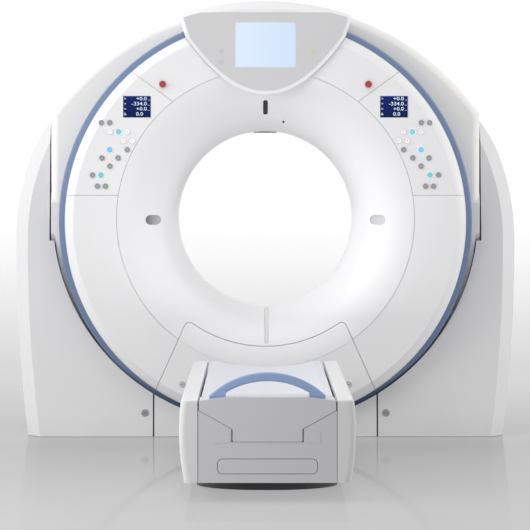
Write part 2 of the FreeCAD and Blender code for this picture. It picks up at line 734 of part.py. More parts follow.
def columns(level):
    """Two square telescopic column sections; level 0 stands on the plinth, inside the others."""
    half = COLUMN_HALF + COLUMN_STEP * level
    bore = half - COLUMN_STEP + 0.5
    tubes = []
    for y in COLUMN_SPOTS:
        tube = box((-half, half), (y - half, y + half), (at(NEST_LOW + 2 * level), at(NEST_HIGH)))
        tubes.append(tube.cut(box((-bore, bore), (y - bore, y + bore), (at(0), at(900)))))
    return Part.makeCompound(tubes)


def side_cover():
    """Right side cover: a bowed outer skin, flat inner wall and closed ends, open below."""
    def solid(inset, low, corner, crown):
        inner = CHANNEL + 2 + inset
        top = at(COUCH_TOP - inset)
        shape = slab([
            line((inner, at(low)), (296 - inset, at(low))),
            arc((296 - inset, at(low)), (313.5 - inset, at(215)), (COUCH_HALF - inset, top)),
            line((COUCH_HALF - inset, top), (inner, top)),
            line((inner, top), (inner, at(low))),
        ], (COUCH_FOOT + inset, COUCH_HEAD - inset))
        ends = [e for e in shape.Edges if e.BoundBox.XMin > 290 and e.BoundBox.ZLength > 200]
        shape = shape.makeFillet(corner, ends)
        rim = [e for e in shape.Edges if e.BoundBox.ZMin > top - 1 and e.BoundBox.XMax > inner + 1]
        return shape.makeFillet(crown, rim)
    return solid(0, COUCH_LOW, 24, 8).cut(solid(4, COUCH_LOW - 10, 20, 4))


def rail():
    """Right guide rail under the tabletop's edge."""
    return box((226, CHANNEL + 2), (COUCH_FOOT + 230, COUCH_HEAD - 10), (at(297), at(310)))


HOOD_OUTLINE = ((124, 213, 6), (124, 258, 5), (221, 312, 4), (243, 324, 0), (243, 358, 6), (150, 370, 0))
HOOD_LENGTH = 204.0
TONGUE_LENGTH = 60.0           # the hood hangs below the tabletop only this far in from its end


def table_parts():
    """Everything that slides: the dished top, its end hood and the arch handle."""
    y = (COUCH_FOOT, COUCH_FOOT + HOOD_LENGTH)
    top = couch_slab([(150, 304, 30), (225, 322, 14), (238, COUCH_TOP, 3)], (y[1] + 1, COUCH_HEAD))
    dish_r = (205 ** 2 + 25 ** 2) / 50.0
    top = top.cut(rod(dish_r, (0, y[1] - 20, at(COUCH_TOP - 25) + dish_r), (0, 1, 0), 2400))
    hood = couch_slab(HOOD_OUTLINE, y)
    inner = [(x - 6, h + (5 if h < 300 else -5), max(r - 3, 1)) for x, h, r in HOOD_OUTLINE]
    hood = hood.cut(couch_slab(inner, (y[0] + 6, y[1] + 5)))
    hood = hood.cut(box((-250, 250), (y[0] + TONGUE_LENGTH, y[1] + 5), (at(200), at(300))))
    arch = slab([
        arc((-210, at(372)), (0, at(458)), (210, at(372))),
        line((210, at(372)), (148, at(372))),
        line((148, at(372)), (148, at(385))),
        arc((148, at(385)), (0, at(426)), (-148, at(385))),
        line((-148, at(385)), (-148, at(372))),
        line((-148, at(372)), (-210, at(372))),
    ], (COUCH_FOOT + 22, COUCH_FOOT + 52))
    bows = [e for e in arch.Edges if e.BoundBox.YLength < 0.1 and e.BoundBox.XLength > 200]
    arch = arch.makeFillet(7, bows)
    feet = box((150, 206), (COUCH_FOOT + 24, COUCH_FOOT + 50), (at(360), at(376)))
    return {"tabletop": top, "table_end_hood": hood.cut(both_sides(feet)),
            "pull_handle": fuse([arch, feet, left(feet)])}


def end_parts():
    """Foot-end cover with its service panel and catches, and the plain head-end cover."""
    y = (COUCH_FOOT + 2, COUCH_FOOT + 8)
    corners = [
        (CHANNEL, COUCH_LOW, 3), (CHANNEL, 323.5, 0), (223, 311.4, 0), (128, 258.5, 0), (128, 211.5, 0),
    ]
    plate = couch_slab(corners, y)
    tongue_room = box((-128, 128), (y[0] - 5, y[1] + 5), (at(211.5), at(400)))
    plate = plate.cut(tongue_room)
    panel = couch_slab([(178, 98, 18), (178, 153, 18)], (y[0] - 50, y[1] + 50))
    plate = plate.cut(panel)
    door = couch_slab([(176, 100, 16), (176, 151, 16)], (y[0] - 1, y[1] - 1))
    catch = box((132, 188), (y[0] - 1.5, y[0] + 2), (at(209), at(249)))
    plate = cut(plate, [catch, left(catch)])
    head = couch_slab([(CHANNEL, COUCH_LOW, 3), (CHANNEL, 296, 0)], (COUCH_HEAD - 8, COUCH_HEAD - 2))
    return {"foot_end_cover": plate, "foot_service_hatches": Part.makeCompound([door, both_sides(catch)]),
            "head_end_cover": head}


def couch_base():
    """Low plinth on the floor; the telescopic parts stand in its well."""
    front = box((-PLINTH_HALF, PLINTH_HALF), (-2765, -1400), (at(8), at(58)))
    corners = [e for e in front.Edges if e.BoundBox.ZLength > 40 and e.BoundBox.YMax < -2700]
    front = front.makeFillet(PLINTH_NOSE, corners)
    body = front.fuse(box((-PLINTH_HALF, PLINTH_HALF), (-1500, -900), (at(8), at(58))))
    body = body.cut(box((-236, 236), (LIFT_FRONT - 46, LIFT_BACK + 36), (at(15), at(100))))
    pads = []
    holes = []
    for x in (-190, 190):
        for y in (-2400, -2000):
            holes.append(rod(9, (x, y, at(0)), (0, 0, 1), 100))
        for y in (-2480, -1000):
            pads.append(rod(30, (x, y, at(0)), (0, 0, 1), 8))
    half = COLUMN_HALF
    foot = [box((-half, half), (y - half, y + half), (at(15), at(NEST_LOW))) for y in COLUMN_SPOTS]
    floor_frame = box((-SKIRT_HALF, SKIRT_HALF), (LIFT_FRONT, LIFT_BACK), (at(15), at(NEST_LOW))).cut(
        box((4 - SKIRT_HALF, SKIRT_HALF - 4), (LIFT_FRONT + 4, LIFT_BACK - 4), (at(0), at(40))))
    body = cut(fuse([body, floor_frame] + foot), holes)
    return body, pads


def couch_frame():
    """Lifting frame: top plate over the columns, two beams and cross ties below the channel."""
    rise = [box((-210, 210), (LIFT_FRONT - 60, LIFT_FRONT - 30), (at(150), at(296)))]
    long = (COUCH_FOOT + 8, LIFT_FRONT - 40)
    beams = [box((x - 20, x + 20), long, (at(155), at(200))) for x in (-200, 200)]
    wide = CHANNEL + 2
    ties = [box((-wide, wide), (y, y + 40), (at(160), at(190))) for y in (COUCH_FOOT + 60, -2600, -2200)]
    roof = box((-wide, wide), (LIFT_FRONT - 60, COUCH_HEAD - 8), (at(284), at(296)))
    return {"couch_frame": fuse([roof] + rise + beams + ties)}


def couch_parts():
    nodes = couch_frame()
    nodes.update(end_parts())
    nodes.update(table_parts())
    nodes["side_cover_right"] = side_cover()
    nodes["side_cover_left"] = left(side_cover())
    nodes["table_rails"] = both_sides(rail())
    for level, name in enumerate(("fixed", "lower", "upper", "top")):
        nodes["lift_stage_" + name] = Part.makeCompound([columns(level), skirt(level)])
    return nodes


def main():
    os.makedirs("parts", exist_ok=True)
    nodes = {}
    nodes.update(front_covers())
    nodes["accent_ring"] = accent_ring()
    nodes["outer_shell"] = outer_shell()
    nodes["console_hood"] = console_hood()
    nodes["console_face"] = console_face()
    nodes["console_screen"] = console_screen()
    nodes["rear_cover"] = rear_skin()
    nodes.update(bore_parts())
    nodes.update(rotor_parts())
    nodes["tilt_ring_frame"] = tilt_frame()
    nodes["bearing_outer_race"] = race(PITCH_R + 4, 560)
    nodes.update(drive_parts())
    nodes["stop_button_right"] = stop_button()
    nodes["stop_button_left"] = left(stop_button())
    nodes.update(stand_parts())
    nodes.update(base_parts())
    nodes.update(couch_parts())
    for name, shape in nodes.items():
        shape.exportStep("parts/%s.step" % name)
    print(len(nodes), "nodes")


main()
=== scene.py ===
# %% [markdown]
# A ct scanner has two bodies: a ring gantry that tilts between two stands, and a low couch in front
# of it.  Nearly all that shows is moulded cover, white or pale grey, so the whole look rests on large
# smooth surfaces, thin even seams and soft light.  The construction is loaded first as a fixed frame.
# Its nodes keep their shape and place; this file gives them finishes and adds the fine pieces.

# %% Load the frame
import json
import math

import bmesh
import bpy
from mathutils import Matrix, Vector


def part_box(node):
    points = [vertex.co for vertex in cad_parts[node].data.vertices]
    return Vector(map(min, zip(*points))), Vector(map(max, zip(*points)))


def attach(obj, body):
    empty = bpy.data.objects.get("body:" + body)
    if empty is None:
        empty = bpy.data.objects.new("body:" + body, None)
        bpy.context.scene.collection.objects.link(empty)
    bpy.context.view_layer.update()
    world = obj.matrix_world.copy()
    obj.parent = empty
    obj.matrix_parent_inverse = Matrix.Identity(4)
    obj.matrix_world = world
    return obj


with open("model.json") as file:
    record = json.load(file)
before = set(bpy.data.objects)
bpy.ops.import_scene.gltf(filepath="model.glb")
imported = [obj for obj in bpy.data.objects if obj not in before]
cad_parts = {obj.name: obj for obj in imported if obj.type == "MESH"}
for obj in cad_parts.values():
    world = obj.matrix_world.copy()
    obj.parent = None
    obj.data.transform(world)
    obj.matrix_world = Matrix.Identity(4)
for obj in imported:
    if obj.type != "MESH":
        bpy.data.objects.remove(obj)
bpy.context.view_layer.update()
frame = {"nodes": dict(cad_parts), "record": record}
nodes = frame["nodes"]
FLOOR_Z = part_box("levelling_feet")[0].z
FACE_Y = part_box("front_cover")[0].y
MM = 0.001
print("frame:", len(nodes), "nodes, floor at", round(FLOOR_Z, 3))

# %% [markdown]
# The camera comes first.  It stands far away with a long lens, at chest height, so that the ring stays
# round and the couch hardly grows towards us.  A short lens close by would swell the couch instead.

# %% Camera
SENSOR = 36.0
LENS = 216.5
camera_data = bpy.data.cameras.new("camera")
camera_data.sensor_width = SENSOR
camera_data.lens = LENS
camera_data.clip_end = 300
camera = bpy.data.objects.new("camera", camera_data)
bpy.context.scene.collection.objects.link(camera)
camera.location = (-0.036, -14.365, 0.192)
camera.rotation_euler = (math.radians(90 - 1.617), 0, math.radians(-0.138))
bpy.context.scene.camera = camera
bpy.context.scene.view_settings.view_transform = "Standard"
print("lens", LENS, "mm at", round(-camera.location.y, 2), "m")

# %% [markdown]
# Light in a white studio comes from everywhere.  The world gives that even light.  What the camera
# sees behind the object must be pure white, yet a world that bright would wash out every shadow, so
# Light Path gives the camera's own rays, and all that glossy faces mirror, a brighter background.
# This is a trick of the staging: the object is lit by the dimmer room.

# %% World
ROOM_LIGHT = 0.50
SEEN_LIGHT = 1.05
world = bpy.data.worlds.new("white_room")
world.use_nodes = True
bpy.context.scene.world = world
tree = world.node_tree
room = tree.nodes["Background"]
room.inputs["Strength"].default_value = ROOM_LIGHT
seen = tree.nodes.new("ShaderNodeBackground")
seen.inputs["Color"].default_value = (1, 1, 1, 1)
seen.inputs["Strength"].default_value = SEEN_LIGHT
path = tree.nodes.new("ShaderNodeLightPath")
choice = tree.nodes.new("ShaderNodeMixShader")
room.inputs["Color"].default_value = (0.985, 0.99, 1.0, 1)
either = tree.nodes.new("ShaderNodeMath")
either.operation = "MAXIMUM"
tree.links.new(path.outputs["Is Camera Ray"], either.inputs[0])
tree.links.new(path.outputs["Is Glossy Ray"], either.inputs[1])
tree.links.new(either.outputs[0], choice.inputs[0])
tree.links.new(room.outputs[0], choice.inputs[1])
tree.links.new(seen.outputs[0], choice.inputs[2])
tree.links.new(choice.outputs[0], tree.nodes["World Output"].inputs["Surface"])
print("room light", ROOM_LIGHT, "seen as", SEEN_LIGHT)


# %% [markdown]
# Large area lamps model the covers.  The key lamp stands on the left, a little in front, so the left
# side of each rounding is lighter and the funnel darkens to the right.  A top lamp fills.  Two lamps far
# out to the sides graze the front and catch only the bevelled edges of the stands.  A faint one below
# the opening lifts the top of the funnel.  A small one close to the couch on its left gives its end face
# a gradient.  Two low ones lift the underside of the blue ring.  The lamps are hidden from reflections,
# so that the polished floor shows the machine and not their panels.

# %% Lamps
def area_lamp(name, place, target, size, power):
    data = bpy.data.lights.new(name, "AREA")
    data.shape = "RECTANGLE"
    data.size, data.size_y = size
    data.energy = power
    lamp = bpy.data.objects.new(name, data)
    bpy.context.scene.collection.objects.link(lamp)
    lamp.location = place
    lamp.rotation_euler = (Vector(target) - Vector(place)).to_track_quat("-Z", "Y").to_euler()
    lamp.visible_glossy = False


area_lamp("lamp_left", (-4.8, -2.6, 2.4), (0.2, -0.3, 0.1), (3, 3), 128)
area_lamp("lamp_top", (0, -2.6, 4.0), (0, 0, -0.3), (4, 2), 58)
area_lamp("lamp_edge_left", (-6.0, -0.6, 1.0), (-1.0, -0.2, 0), (2, 3), 80)
area_lamp("lamp_edge_right", (6.0, -0.6, 1.0), (1.0, -0.2, 0), (2, 3), 140)
area_lamp("lamp_bore", (0, -0.75, -0.35), (0, -0.55, 0.65), (0.8, 0.3), 2.5)
area_lamp("lamp_low_left", (-2.2, -1.6, -0.8), (-0.5, -0.2, -0.6), (1.0, 0.3), 2.5)
area_lamp("lamp_low_right", (2.2, -1.6, -0.8), (0.5, -0.2, -0.6), (1.0, 0.3), 2.5)
area_lamp("lamp_couch", (-1.6, -4.2, 0.2), (0, -3.1, -0.8), (0.6, 0.6), 15)
print(len(bpy.data.lights), "lamps")

# %% [markdown]
# The floor is polished and pale.  Near us it is grey, and with distance it fades into the white room,
# so no horizon shows.  Ramps on the floor's own depth do the fade: its base colour goes down while its
# own light comes up, and a clear mirror layer is mixed in by a share that grows away from us.  Only the
# camera sees that mirror; the rays that light the covers meet a dull floor, or it would glare upwards.

# %% Floor
FLOOR_NEAR = 10.0
FLOOR_FAR = 90.0
FLOOR_TONES = (                # depth behind the isocentre, own light, base tone, mirror share
    # The own light dips at 0.7 m in front of the isocentre, painted shade on the floor before the gantry, and
    # is highest at the near end, painted light over the couch's shadow.
    (-4.0, 0.50, 0.10, 0.05), (-2.9, 0.44, 0.14, 0.08), (-0.7, 0.20, 0.25, 0.28), (3.6, 0.43, 0.25, 0.34),
    (8.0, 0.60, 0.20, 0.34), (15.0, 0.78, 0.15, 0.34), (29.0, 0.96, 0.10, 0.34), (60.0, 1.10, 0.0, 0.34),
)
bpy.ops.object.select_all(action="DESELECT")
bpy.ops.mesh.primitive_plane_add(size=2, location=(0, (FLOOR_FAR - FLOOR_NEAR) / 2, FLOOR_Z - 0.0005))
floor = bpy.context.active_object
floor.name = "studio_floor"
floor.scale = (60, (FLOOR_FAR + FLOOR_NEAR) / 2, 1)
bpy.ops.object.transform_apply(location=True, rotation=True, scale=True)
floor_paint = bpy.data.materials.new("studio_floor")
floor_paint.use_nodes = True
tree = floor_paint.node_tree
shader = tree.nodes["Principled BSDF"]
shader.inputs["Specular IOR Level"].default_value = 0.0
shader.inputs["Roughness"].default_value = 1.0
shader.inputs["Emission Strength"].default_value = 1.0
where = tree.nodes.new("ShaderNodeTexCoord")
parts = tree.nodes.new("ShaderNodeSeparateXYZ")
depth = tree.nodes.new("ShaderNodeMapRange")
near, far = FLOOR_TONES[0][0], FLOOR_TONES[-1][0]
depth.inputs["From Min"].default_value = near
depth.inputs["From Max"].default_value = far
tree.links.new(where.outputs["Object"], parts.inputs[0])
tree.links.new(parts.outputs["Y"], depth.inputs["Value"])
ramps = []
for column in (1, 2, 3):
    ramp = tree.nodes.new("ShaderNodeValToRGB")
    first, last = FLOOR_TONES[0][column], FLOOR_TONES[-1][column]
    ramp.color_ramp.elements[0].color = (first, first, first, 1)
    ramp.color_ramp.elements[1].color = (last, last, last, 1)
    for entry in FLOOR_TONES[1:-1]:
        tone = entry[column]
        ramp.color_ramp.elements.new((entry[0] - near) / (far - near)).color = (tone, tone, tone, 1)
    tree.links.new(depth.outputs[0], ramp.inputs[0])
    ramps.append(ramp)
mirror = tree.nodes.new("ShaderNodeBsdfGlossy")
mirror.inputs["Roughness"].default_value = 0.03
seen_mirror = tree.nodes.new("ShaderNodeMath")
seen_mirror.operation = "MULTIPLY"
own_path = tree.nodes.new("ShaderNodeLightPath")
polish = tree.nodes.new("ShaderNodeMixShader")
tree.links.new(ramps[0].outputs[0], shader.inputs["Emission Color"])
tree.links.new(ramps[1].outputs[0], shader.inputs["Base Color"])
tree.links.new(ramps[2].outputs[0], seen_mirror.inputs[0])
tree.links.new(own_path.outputs["Is Camera Ray"], seen_mirror.inputs[1])
tree.links.new(seen_mirror.outputs[0], polish.inputs[0])
tree.links.new(shader.outputs[0], polish.inputs[1])
tree.links.new(mirror.outputs[0], polish.inputs[2])
tree.links.new(polish.outputs[0], tree.nodes["Material Output"].inputs["Surface"])
floor.data.materials.append(floor_paint)
print("floor reaches", FLOOR_FAR, "m")


# %% [markdown]
# Moulded plastic is never one flat colour.  Paint and resin drift a little from place to place, and
# the tool leaves a fine grain that softens the gloss.  Several finishes need both effects, so each is
# a shader node group with its own inputs, made once and placed in every material with other values.

# %% Node group helpers
def new_group(name, inputs, outputs):
    """An empty shader group with sockets given as (name, kind, default)."""
    group = bpy.data.node_groups.new(name, "ShaderNodeTree")
    for label, kind, default in inputs:
        socket = group.interface.new_socket(label, in_out="INPUT", socket_type=kind)
        socket.default_value = default
    for label, kind in outputs:
        group.interface.new_socket(label, in_out="OUTPUT", socket_type=kind)
    return group, group.nodes.new("NodeGroupInput"), group.nodes.new("NodeGroupOutput")


def wire(tree, pairs):
    for start, end in pairs:
        tree.links.new(start, end)


def add(tree, kind, **settings):
    node = tree.nodes.new(kind)
    for key, value in settings.items():
        setattr(node, key, value)
    return node


# %% Colour drift group
FLOAT = "NodeSocketFloat"
COLOUR = "NodeSocketColor"
drift, source, sink = new_group(
    "colour_drift",
    [("Colour", COLOUR, (0.8, 0.8, 0.8, 1)), ("Scale", FLOAT, 3.0), ("Amount", FLOAT, 0.03)],
    [("Colour", COLOUR)])
place = add(drift, "ShaderNodeTexCoord")
cloud = add(drift, "ShaderNodeTexNoise")
cloud.inputs["Detail"].default_value = 4.0
centred = add(drift, "ShaderNodeMath", operation="SUBTRACT")
centred.inputs[1].default_value = 0.5
scaled = add(drift, "ShaderNodeMath", operation="MULTIPLY")
shifted = add(drift, "ShaderNodeMath", operation="ADD")
shifted.inputs[1].default_value = 1.0
tone = add(drift, "ShaderNodeHueSaturation")
wire(drift, [
    (place.outputs["Object"], cloud.inputs["Vector"]), (source.outputs["Scale"], cloud.inputs["Scale"]),
    (cloud.outputs[0], centred.inputs[0]), (centred.outputs[0], scaled.inputs[0]),
    (source.outputs["Amount"], scaled.inputs[1]), (scaled.outputs[0], shifted.inputs[0]),
    (shifted.outputs[0], tone.inputs["Value"]), (source.outputs["Colour"], tone.inputs["Color"]),
    (tone.outputs[0], sink.inputs["Colour"]),
])
print(drift.name, len(drift.nodes), "nodes")

# %% [markdown]
# The grain group gives two results from one fine noise: a roughness between two limits, and a height
# for the Bump node.  Long covers get an almost smooth grain, the couch end and the console a coarser one.

# %% Tool grain group
grain, source, sink = new_group(
    "tool_grain",
    [("Scale", FLOAT, 900.0), ("Smooth", FLOAT, 0.3), ("Rough", FLOAT, 0.4)],
    [("Roughness", FLOAT), ("Height", FLOAT)])
place = add(grain, "ShaderNodeTexCoord")
fine = add(grain, "ShaderNodeTexNoise")
fine.inputs["Detail"].default_value = 2.0
spread = add(grain, "ShaderNodeMapRange")
spread.inputs["From Min"].default_value = 0.3
spread.inputs["From Max"].default_value = 0.7
wire(grain, [
    (place.outputs["Object"], fine.inputs["Vector"]), (source.outputs["Scale"], fine.inputs["Scale"]),
    (fine.outputs[0], spread.inputs["Value"]), (source.outputs["Smooth"], spread.inputs["To Min"]),
    (source.outputs["Rough"], spread.inputs["To Max"]), (spread.outputs[0], sink.inputs["Roughness"]),
    (fine.outputs[0], sink.inputs["Height"]),
])
print(grain.name, len(grain.nodes), "nodes")

# %% [markdown]
# Turned and brushed metal carries long fine lines.  The same noise, squeezed along one axis by a
# Mapping node, gives them.  The drawn columns use lines along Z, the turned rings lines across Y.

# %% Brushed line group
brushed, source, sink = new_group(
    "brushed_lines",
    [("Stretch", "NodeSocketVector", (400.0, 400.0, 6.0)), ("Smooth", FLOAT, 0.25), ("Rough", FLOAT, 0.45)],
    [("Roughness", FLOAT), ("Height", FLOAT)])
place = add(brushed, "ShaderNodeTexCoord")
squeeze = add(brushed, "ShaderNodeMapping")
lines = add(brushed, "ShaderNodeTexNoise")
lines.inputs["Scale"].default_value = 1.0
spread = add(brushed, "ShaderNodeMapRange")
wire(brushed, [
    (place.outputs["Object"], squeeze.inputs["Vector"]), (source.outputs["Stretch"], squeeze.inputs["Scale"]),
    (squeeze.outputs[0], lines.inputs["Vector"]), (lines.outputs[0], spread.inputs["Value"]),
    (source.outputs["Smooth"], spread.inputs["To Min"]), (source.outputs["Rough"], spread.inputs["To Max"]),
    (spread.outputs[0], sink.inputs["Roughness"]), (lines.outputs[0], sink.inputs["Height"]),
])
print(brushed.name, len(brushed.nodes), "nodes")

# %% [markdown]
# The lowest hand's breadth of a floor-standing cover is painted a shade darker, as painted shade near the
# floor.  This group takes a colour and mixes in a dull grey below a height, broken up by a soft noise.

# %% Foot shade group
foot_shade, source, sink = new_group(
    "foot_shade_paint",
    [("Colour", COLOUR, (0.8, 0.8, 0.8, 1)), ("Height", FLOAT, 0.10), ("Amount", FLOAT, 0.15)],
    [("Colour", COLOUR)])
place = add(foot_shade, "ShaderNodeTexCoord")
split = add(foot_shade, "ShaderNodeSeparateXYZ")
above = add(foot_shade, "ShaderNodeMath", operation="SUBTRACT")
above.inputs[1].default_value = FLOOR_Z
share = add(foot_shade, "ShaderNodeMath", operation="DIVIDE")
fade = add(foot_shade, "ShaderNodeMapRange", interpolation_type="SMOOTHSTEP")
fade.inputs["To Min"].default_value = 1.0
fade.inputs["To Max"].default_value = 0.0
shade_breakup = add(foot_shade, "ShaderNodeTexNoise")
shade_breakup.inputs["Scale"].default_value = 7.0
both = add(foot_shade, "ShaderNodeMath", operation="MULTIPLY")
part = add(foot_shade, "ShaderNodeMath", operation="MULTIPLY")
mixed = add(foot_shade, "ShaderNodeMix", data_type="RGBA")
mixed.inputs["B"].default_value = (0.30, 0.30, 0.31, 1)
wire(foot_shade, [
    (place.outputs["Object"], split.inputs[0]), (split.outputs["Z"], above.inputs[0]),
    (above.outputs[0], share.inputs[0]), (source.outputs["Height"], share.inputs[1]),
    (share.outputs[0], fade.inputs["Value"]), (place.outputs["Object"], shade_breakup.inputs["Vector"]),
    (fade.outputs[0], both.inputs[0]), (shade_breakup.outputs[0], both.inputs[1]),
    (both.outputs[0], part.inputs[0]), (source.outputs["Amount"], part.inputs[1]),
    (part.outputs[0], mixed.inputs["Factor"]), (source.outputs["Colour"], mixed.inputs["A"]),
    (mixed.outputs["Result"], sink.inputs["Colour"]),
])
print(foot_shade.name, len(foot_shade.nodes), "nodes")


# %% [markdown]
# With the groups ready, one function builds each kind of finish.  Moulded plastic takes drift and
# grain; a cover that stands on the floor also takes painted shade near the floor.  Constant numbers such as
# metallic or coat are set on the shader itself.

# %% Moulded finish
def place_group(tree, group, **values):
    node = add(tree, "ShaderNodeGroup", node_tree=group)
    for key, value in values.items():
        node.inputs[key].default_value = value
    return node


def moulded(name, colour, smooth, rough, drift_amount=0.03, grain_scale=700.0, bump=0.04, coat=0.0,
            foot_shaded=False):
    """Moulded or painted cover: drifting colour, grained gloss, optional coat and painted shade near the
    floor.
    """
    material = bpy.data.materials.new(name)
    material.use_nodes = True
    tree = material.node_tree
    shader = tree.nodes["Principled BSDF"]
    shader.inputs["Coat Weight"].default_value = coat
    shader.inputs["Coat Roughness"].default_value = 0.12
    hue = place_group(tree, drift, Colour=(*colour, 1), Scale=2.5, Amount=drift_amount)
    skin = place_group(tree, grain, Scale=grain_scale, Smooth=smooth, Rough=rough)
    relief = add(tree, "ShaderNodeBump")
    relief.inputs["Strength"].default_value = bump
    relief.inputs["Distance"].default_value = MM
    last = hue.outputs["Colour"]
    # painted shade: the foot of a floor-standing cover is darkened towards the floor
    if foot_shaded:
        low = place_group(tree, foot_shade, Height=0.12, Amount=0.16)
        tree.links.new(last, low.inputs["Colour"])
        last = low.outputs["Colour"]
    wire(tree, [
        (last, shader.inputs["Base Color"]), (skin.outputs["Roughness"], shader.inputs["Roughness"]),
        (skin.outputs["Height"], relief.inputs["Height"]), (relief.outputs[0], shader.inputs["Normal"]),
    ])
    return material


# %% Metal finish
def metal(name, colour, smooth, rough, stretch, bump=0.1):
    """Bare metal with drawn or turned lines."""
    material = bpy.data.materials.new(name)
    material.use_nodes = True
    tree = material.node_tree
    shader = tree.nodes["Principled BSDF"]
    shader.inputs["Metallic"].default_value = 1.0
    hue = place_group(tree, drift, Colour=(*colour, 1), Scale=6.0, Amount=0.12)
    skin = place_group(tree, brushed, Stretch=stretch, Smooth=smooth, Rough=rough)
    relief = add(tree, "ShaderNodeBump")
    relief.inputs["Strength"].default_value = bump
    relief.inputs["Distance"].default_value = MM
    wire(tree, [
        (hue.outputs["Colour"], shader.inputs["Base Color"]),
        (skin.outputs["Roughness"], shader.inputs["Roughness"]),
        (skin.outputs["Height"], relief.inputs["Height"]), (relief.outputs[0], shader.inputs["Normal"]),
    ])
    return material


# %% [markdown]
# Lit things are screens, key lamps and digits.  Their light is an emission colour, dim enough to stay
# coloured, over a black base that hardly reflects.  A soft ramp along one axis keeps a screen from
# looking printed.

# %% Lit finish
def lit(name, low, high, axis="Z", span=(0.0, 1.0), strength=1.0):
    """Glowing surface whose colour runs from one tone to another along an axis of the object."""
    material = bpy.data.materials.new(name)
    material.use_nodes = True
    tree = material.node_tree
    shader = tree.nodes["Principled BSDF"]
    shader.inputs["Base Color"].default_value = (0, 0, 0, 1)
    shader.inputs["Roughness"].default_value = 0.25
    shader.inputs["Specular IOR Level"].default_value = 0.05
    shader.inputs["Emission Strength"].default_value = strength
    place = add(tree, "ShaderNodeTexCoord")
    split = add(tree, "ShaderNodeSeparateXYZ")
    run = add(tree, "ShaderNodeMapRange")
    run.inputs["From Min"].default_value, run.inputs["From Max"].default_value = span
    ramp = add(tree, "ShaderNodeValToRGB")
    ramp.color_ramp.elements[0].color = (*low, 1)
    ramp.color_ramp.elements[1].color = (*high, 1)
    wire(tree, [
        (place.outputs["Object"], split.inputs[0]), (split.outputs[axis], run.inputs["Value"]),
        (run.outputs[0], ramp.inputs[0]), (ramp.outputs[0], shader.inputs["Emission Color"]),
    ])
    return material


# %% The finishes
screen_low, screen_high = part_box("console_screen")
GLOSS_WHITE = (0.80, 0.797, 0.805)
finishes = {
    "cover_white": moulded("white_cover", GLOSS_WHITE, 0.26, 0.34, coat=0.25, drift_amount=0.02),
    # painted light: the shell's white is a lighter, lit copy of the one white plastic of the covers
    "shell_grey": moulded("shell_cover_lit", (0.83, 0.815, 0.795), 0.30, 0.40, coat=0.15, foot_shaded=True),
    "accent_blue": moulded("blue_lacquer", (0.125, 0.184, 0.312), 0.28, 0.36, coat=0.3, grain_scale=1500.0),
    "console_grey": moulded("console_face", (0.60, 0.598, 0.605), 0.42, 0.55, bump=0.12, grain_scale=1200.0),
    "couch_grey": moulded("couch_end", (0.60, 0.60, 0.615), 0.38, 0.50, bump=0.10, grain_scale=1000.0),
    "cap_grey": moulded("cap_grey", (0.30, 0.305, 0.315), 0.35, 0.50, grain_scale=1800.0),
    # painted shade: the rails' white is a darker, shaded copy of the one white plastic of the covers
    "rail_white": moulded("rail_white", (0.64, 0.64, 0.64), 0.25, 0.35, coat=0.3),
    "tabletop_skin": moulded("tabletop", (0.60, 0.62, 0.68), 0.30, 0.42, coat=0.2, grain_scale=1400.0),
    "key_rubber": moulded("key_rubber", (0.30, 0.31, 0.32), 0.50, 0.65, bump=0.15, grain_scale=2500.0),
    "stop_red": moulded("stop_red", (0.40, 0.020, 0.028), 0.22, 0.32, coat=0.3, grain_scale=2500.0),
    "frame_steel": moulded("frame_paint", (0.30, 0.32, 0.35), 0.40, 0.60, 0.10, 300.0, 0.2),
    "cast_frame": moulded("cast_iron_paint", (0.32, 0.33, 0.34), 0.50, 0.75, 0.15, 180.0, 0.6),
    "housing_dark": moulded("housing_paint", (0.20, 0.22, 0.25), 0.35, 0.55, 0.08, 500.0, 0.15),
    "belt_rubber": moulded("belt_rubber", (0.04, 0.04, 0.042), 0.60, 0.80, 0.20, 600.0, 0.4),
    # painted shade: the recessed plinth under the couch is near-black to stand for the shade it sits in
    "skirt_dark": moulded("skirt_dark", (0.045, 0.045, 0.05), 0.45, 0.60, 0.10, 900.0, 0.1),
    "bearing_steel": metal("bearing_steel", (0.60, 0.61, 0.63), 0.15, 0.32, (40.0, 900.0, 40.0)),
    "aluminium_part": metal("machined_aluminium", (0.70, 0.71, 0.73), 0.25, 0.45, (60.0, 700.0, 60.0)),
    "copper_ring": metal("slip_ring_brass", (0.75, 0.50, 0.30), 0.18, 0.35, (50.0, 1200.0, 50.0)),
    "column_steel": metal("drawn_steel", (0.58, 0.59, 0.61), 0.22, 0.40, (900.0, 900.0, 12.0)),
    "screen_glass": lit("screen_glow", (0.66, 0.79, 0.96), (0.74, 0.85, 1.0), "X",
                        (screen_high.x, screen_low.x)),
    "display_navy": lit("display_glow", (0.006, 0.014, 0.085), (0.008, 0.024, 0.15), "Z", (0.44, 0.54)),
}
print(len(finishes), "finishes")

# %% [markdown]
# The four positioning windows are smoked glass over laser optics.  The side windows run from dark to
# light across their width, which is painted shade of their recess; the top slot is black and the bottom one
# pale, so their tone is read from the place on the object: from X at the sides, from Z near the middle.

# %% Window glass
window = bpy.data.materials.new("window_glass")
window.use_nodes = True
tree = window.node_tree
shader = tree.nodes["Principled BSDF"]
shader.inputs["Roughness"].default_value = 0.12
place = add(tree, "ShaderNodeTexCoord")
split = add(tree, "ShaderNodeSeparateXYZ")
across = add(tree, "ShaderNodeMapRange")
across.inputs["From Min"].default_value = -0.53
across.inputs["From Max"].default_value = 0.53
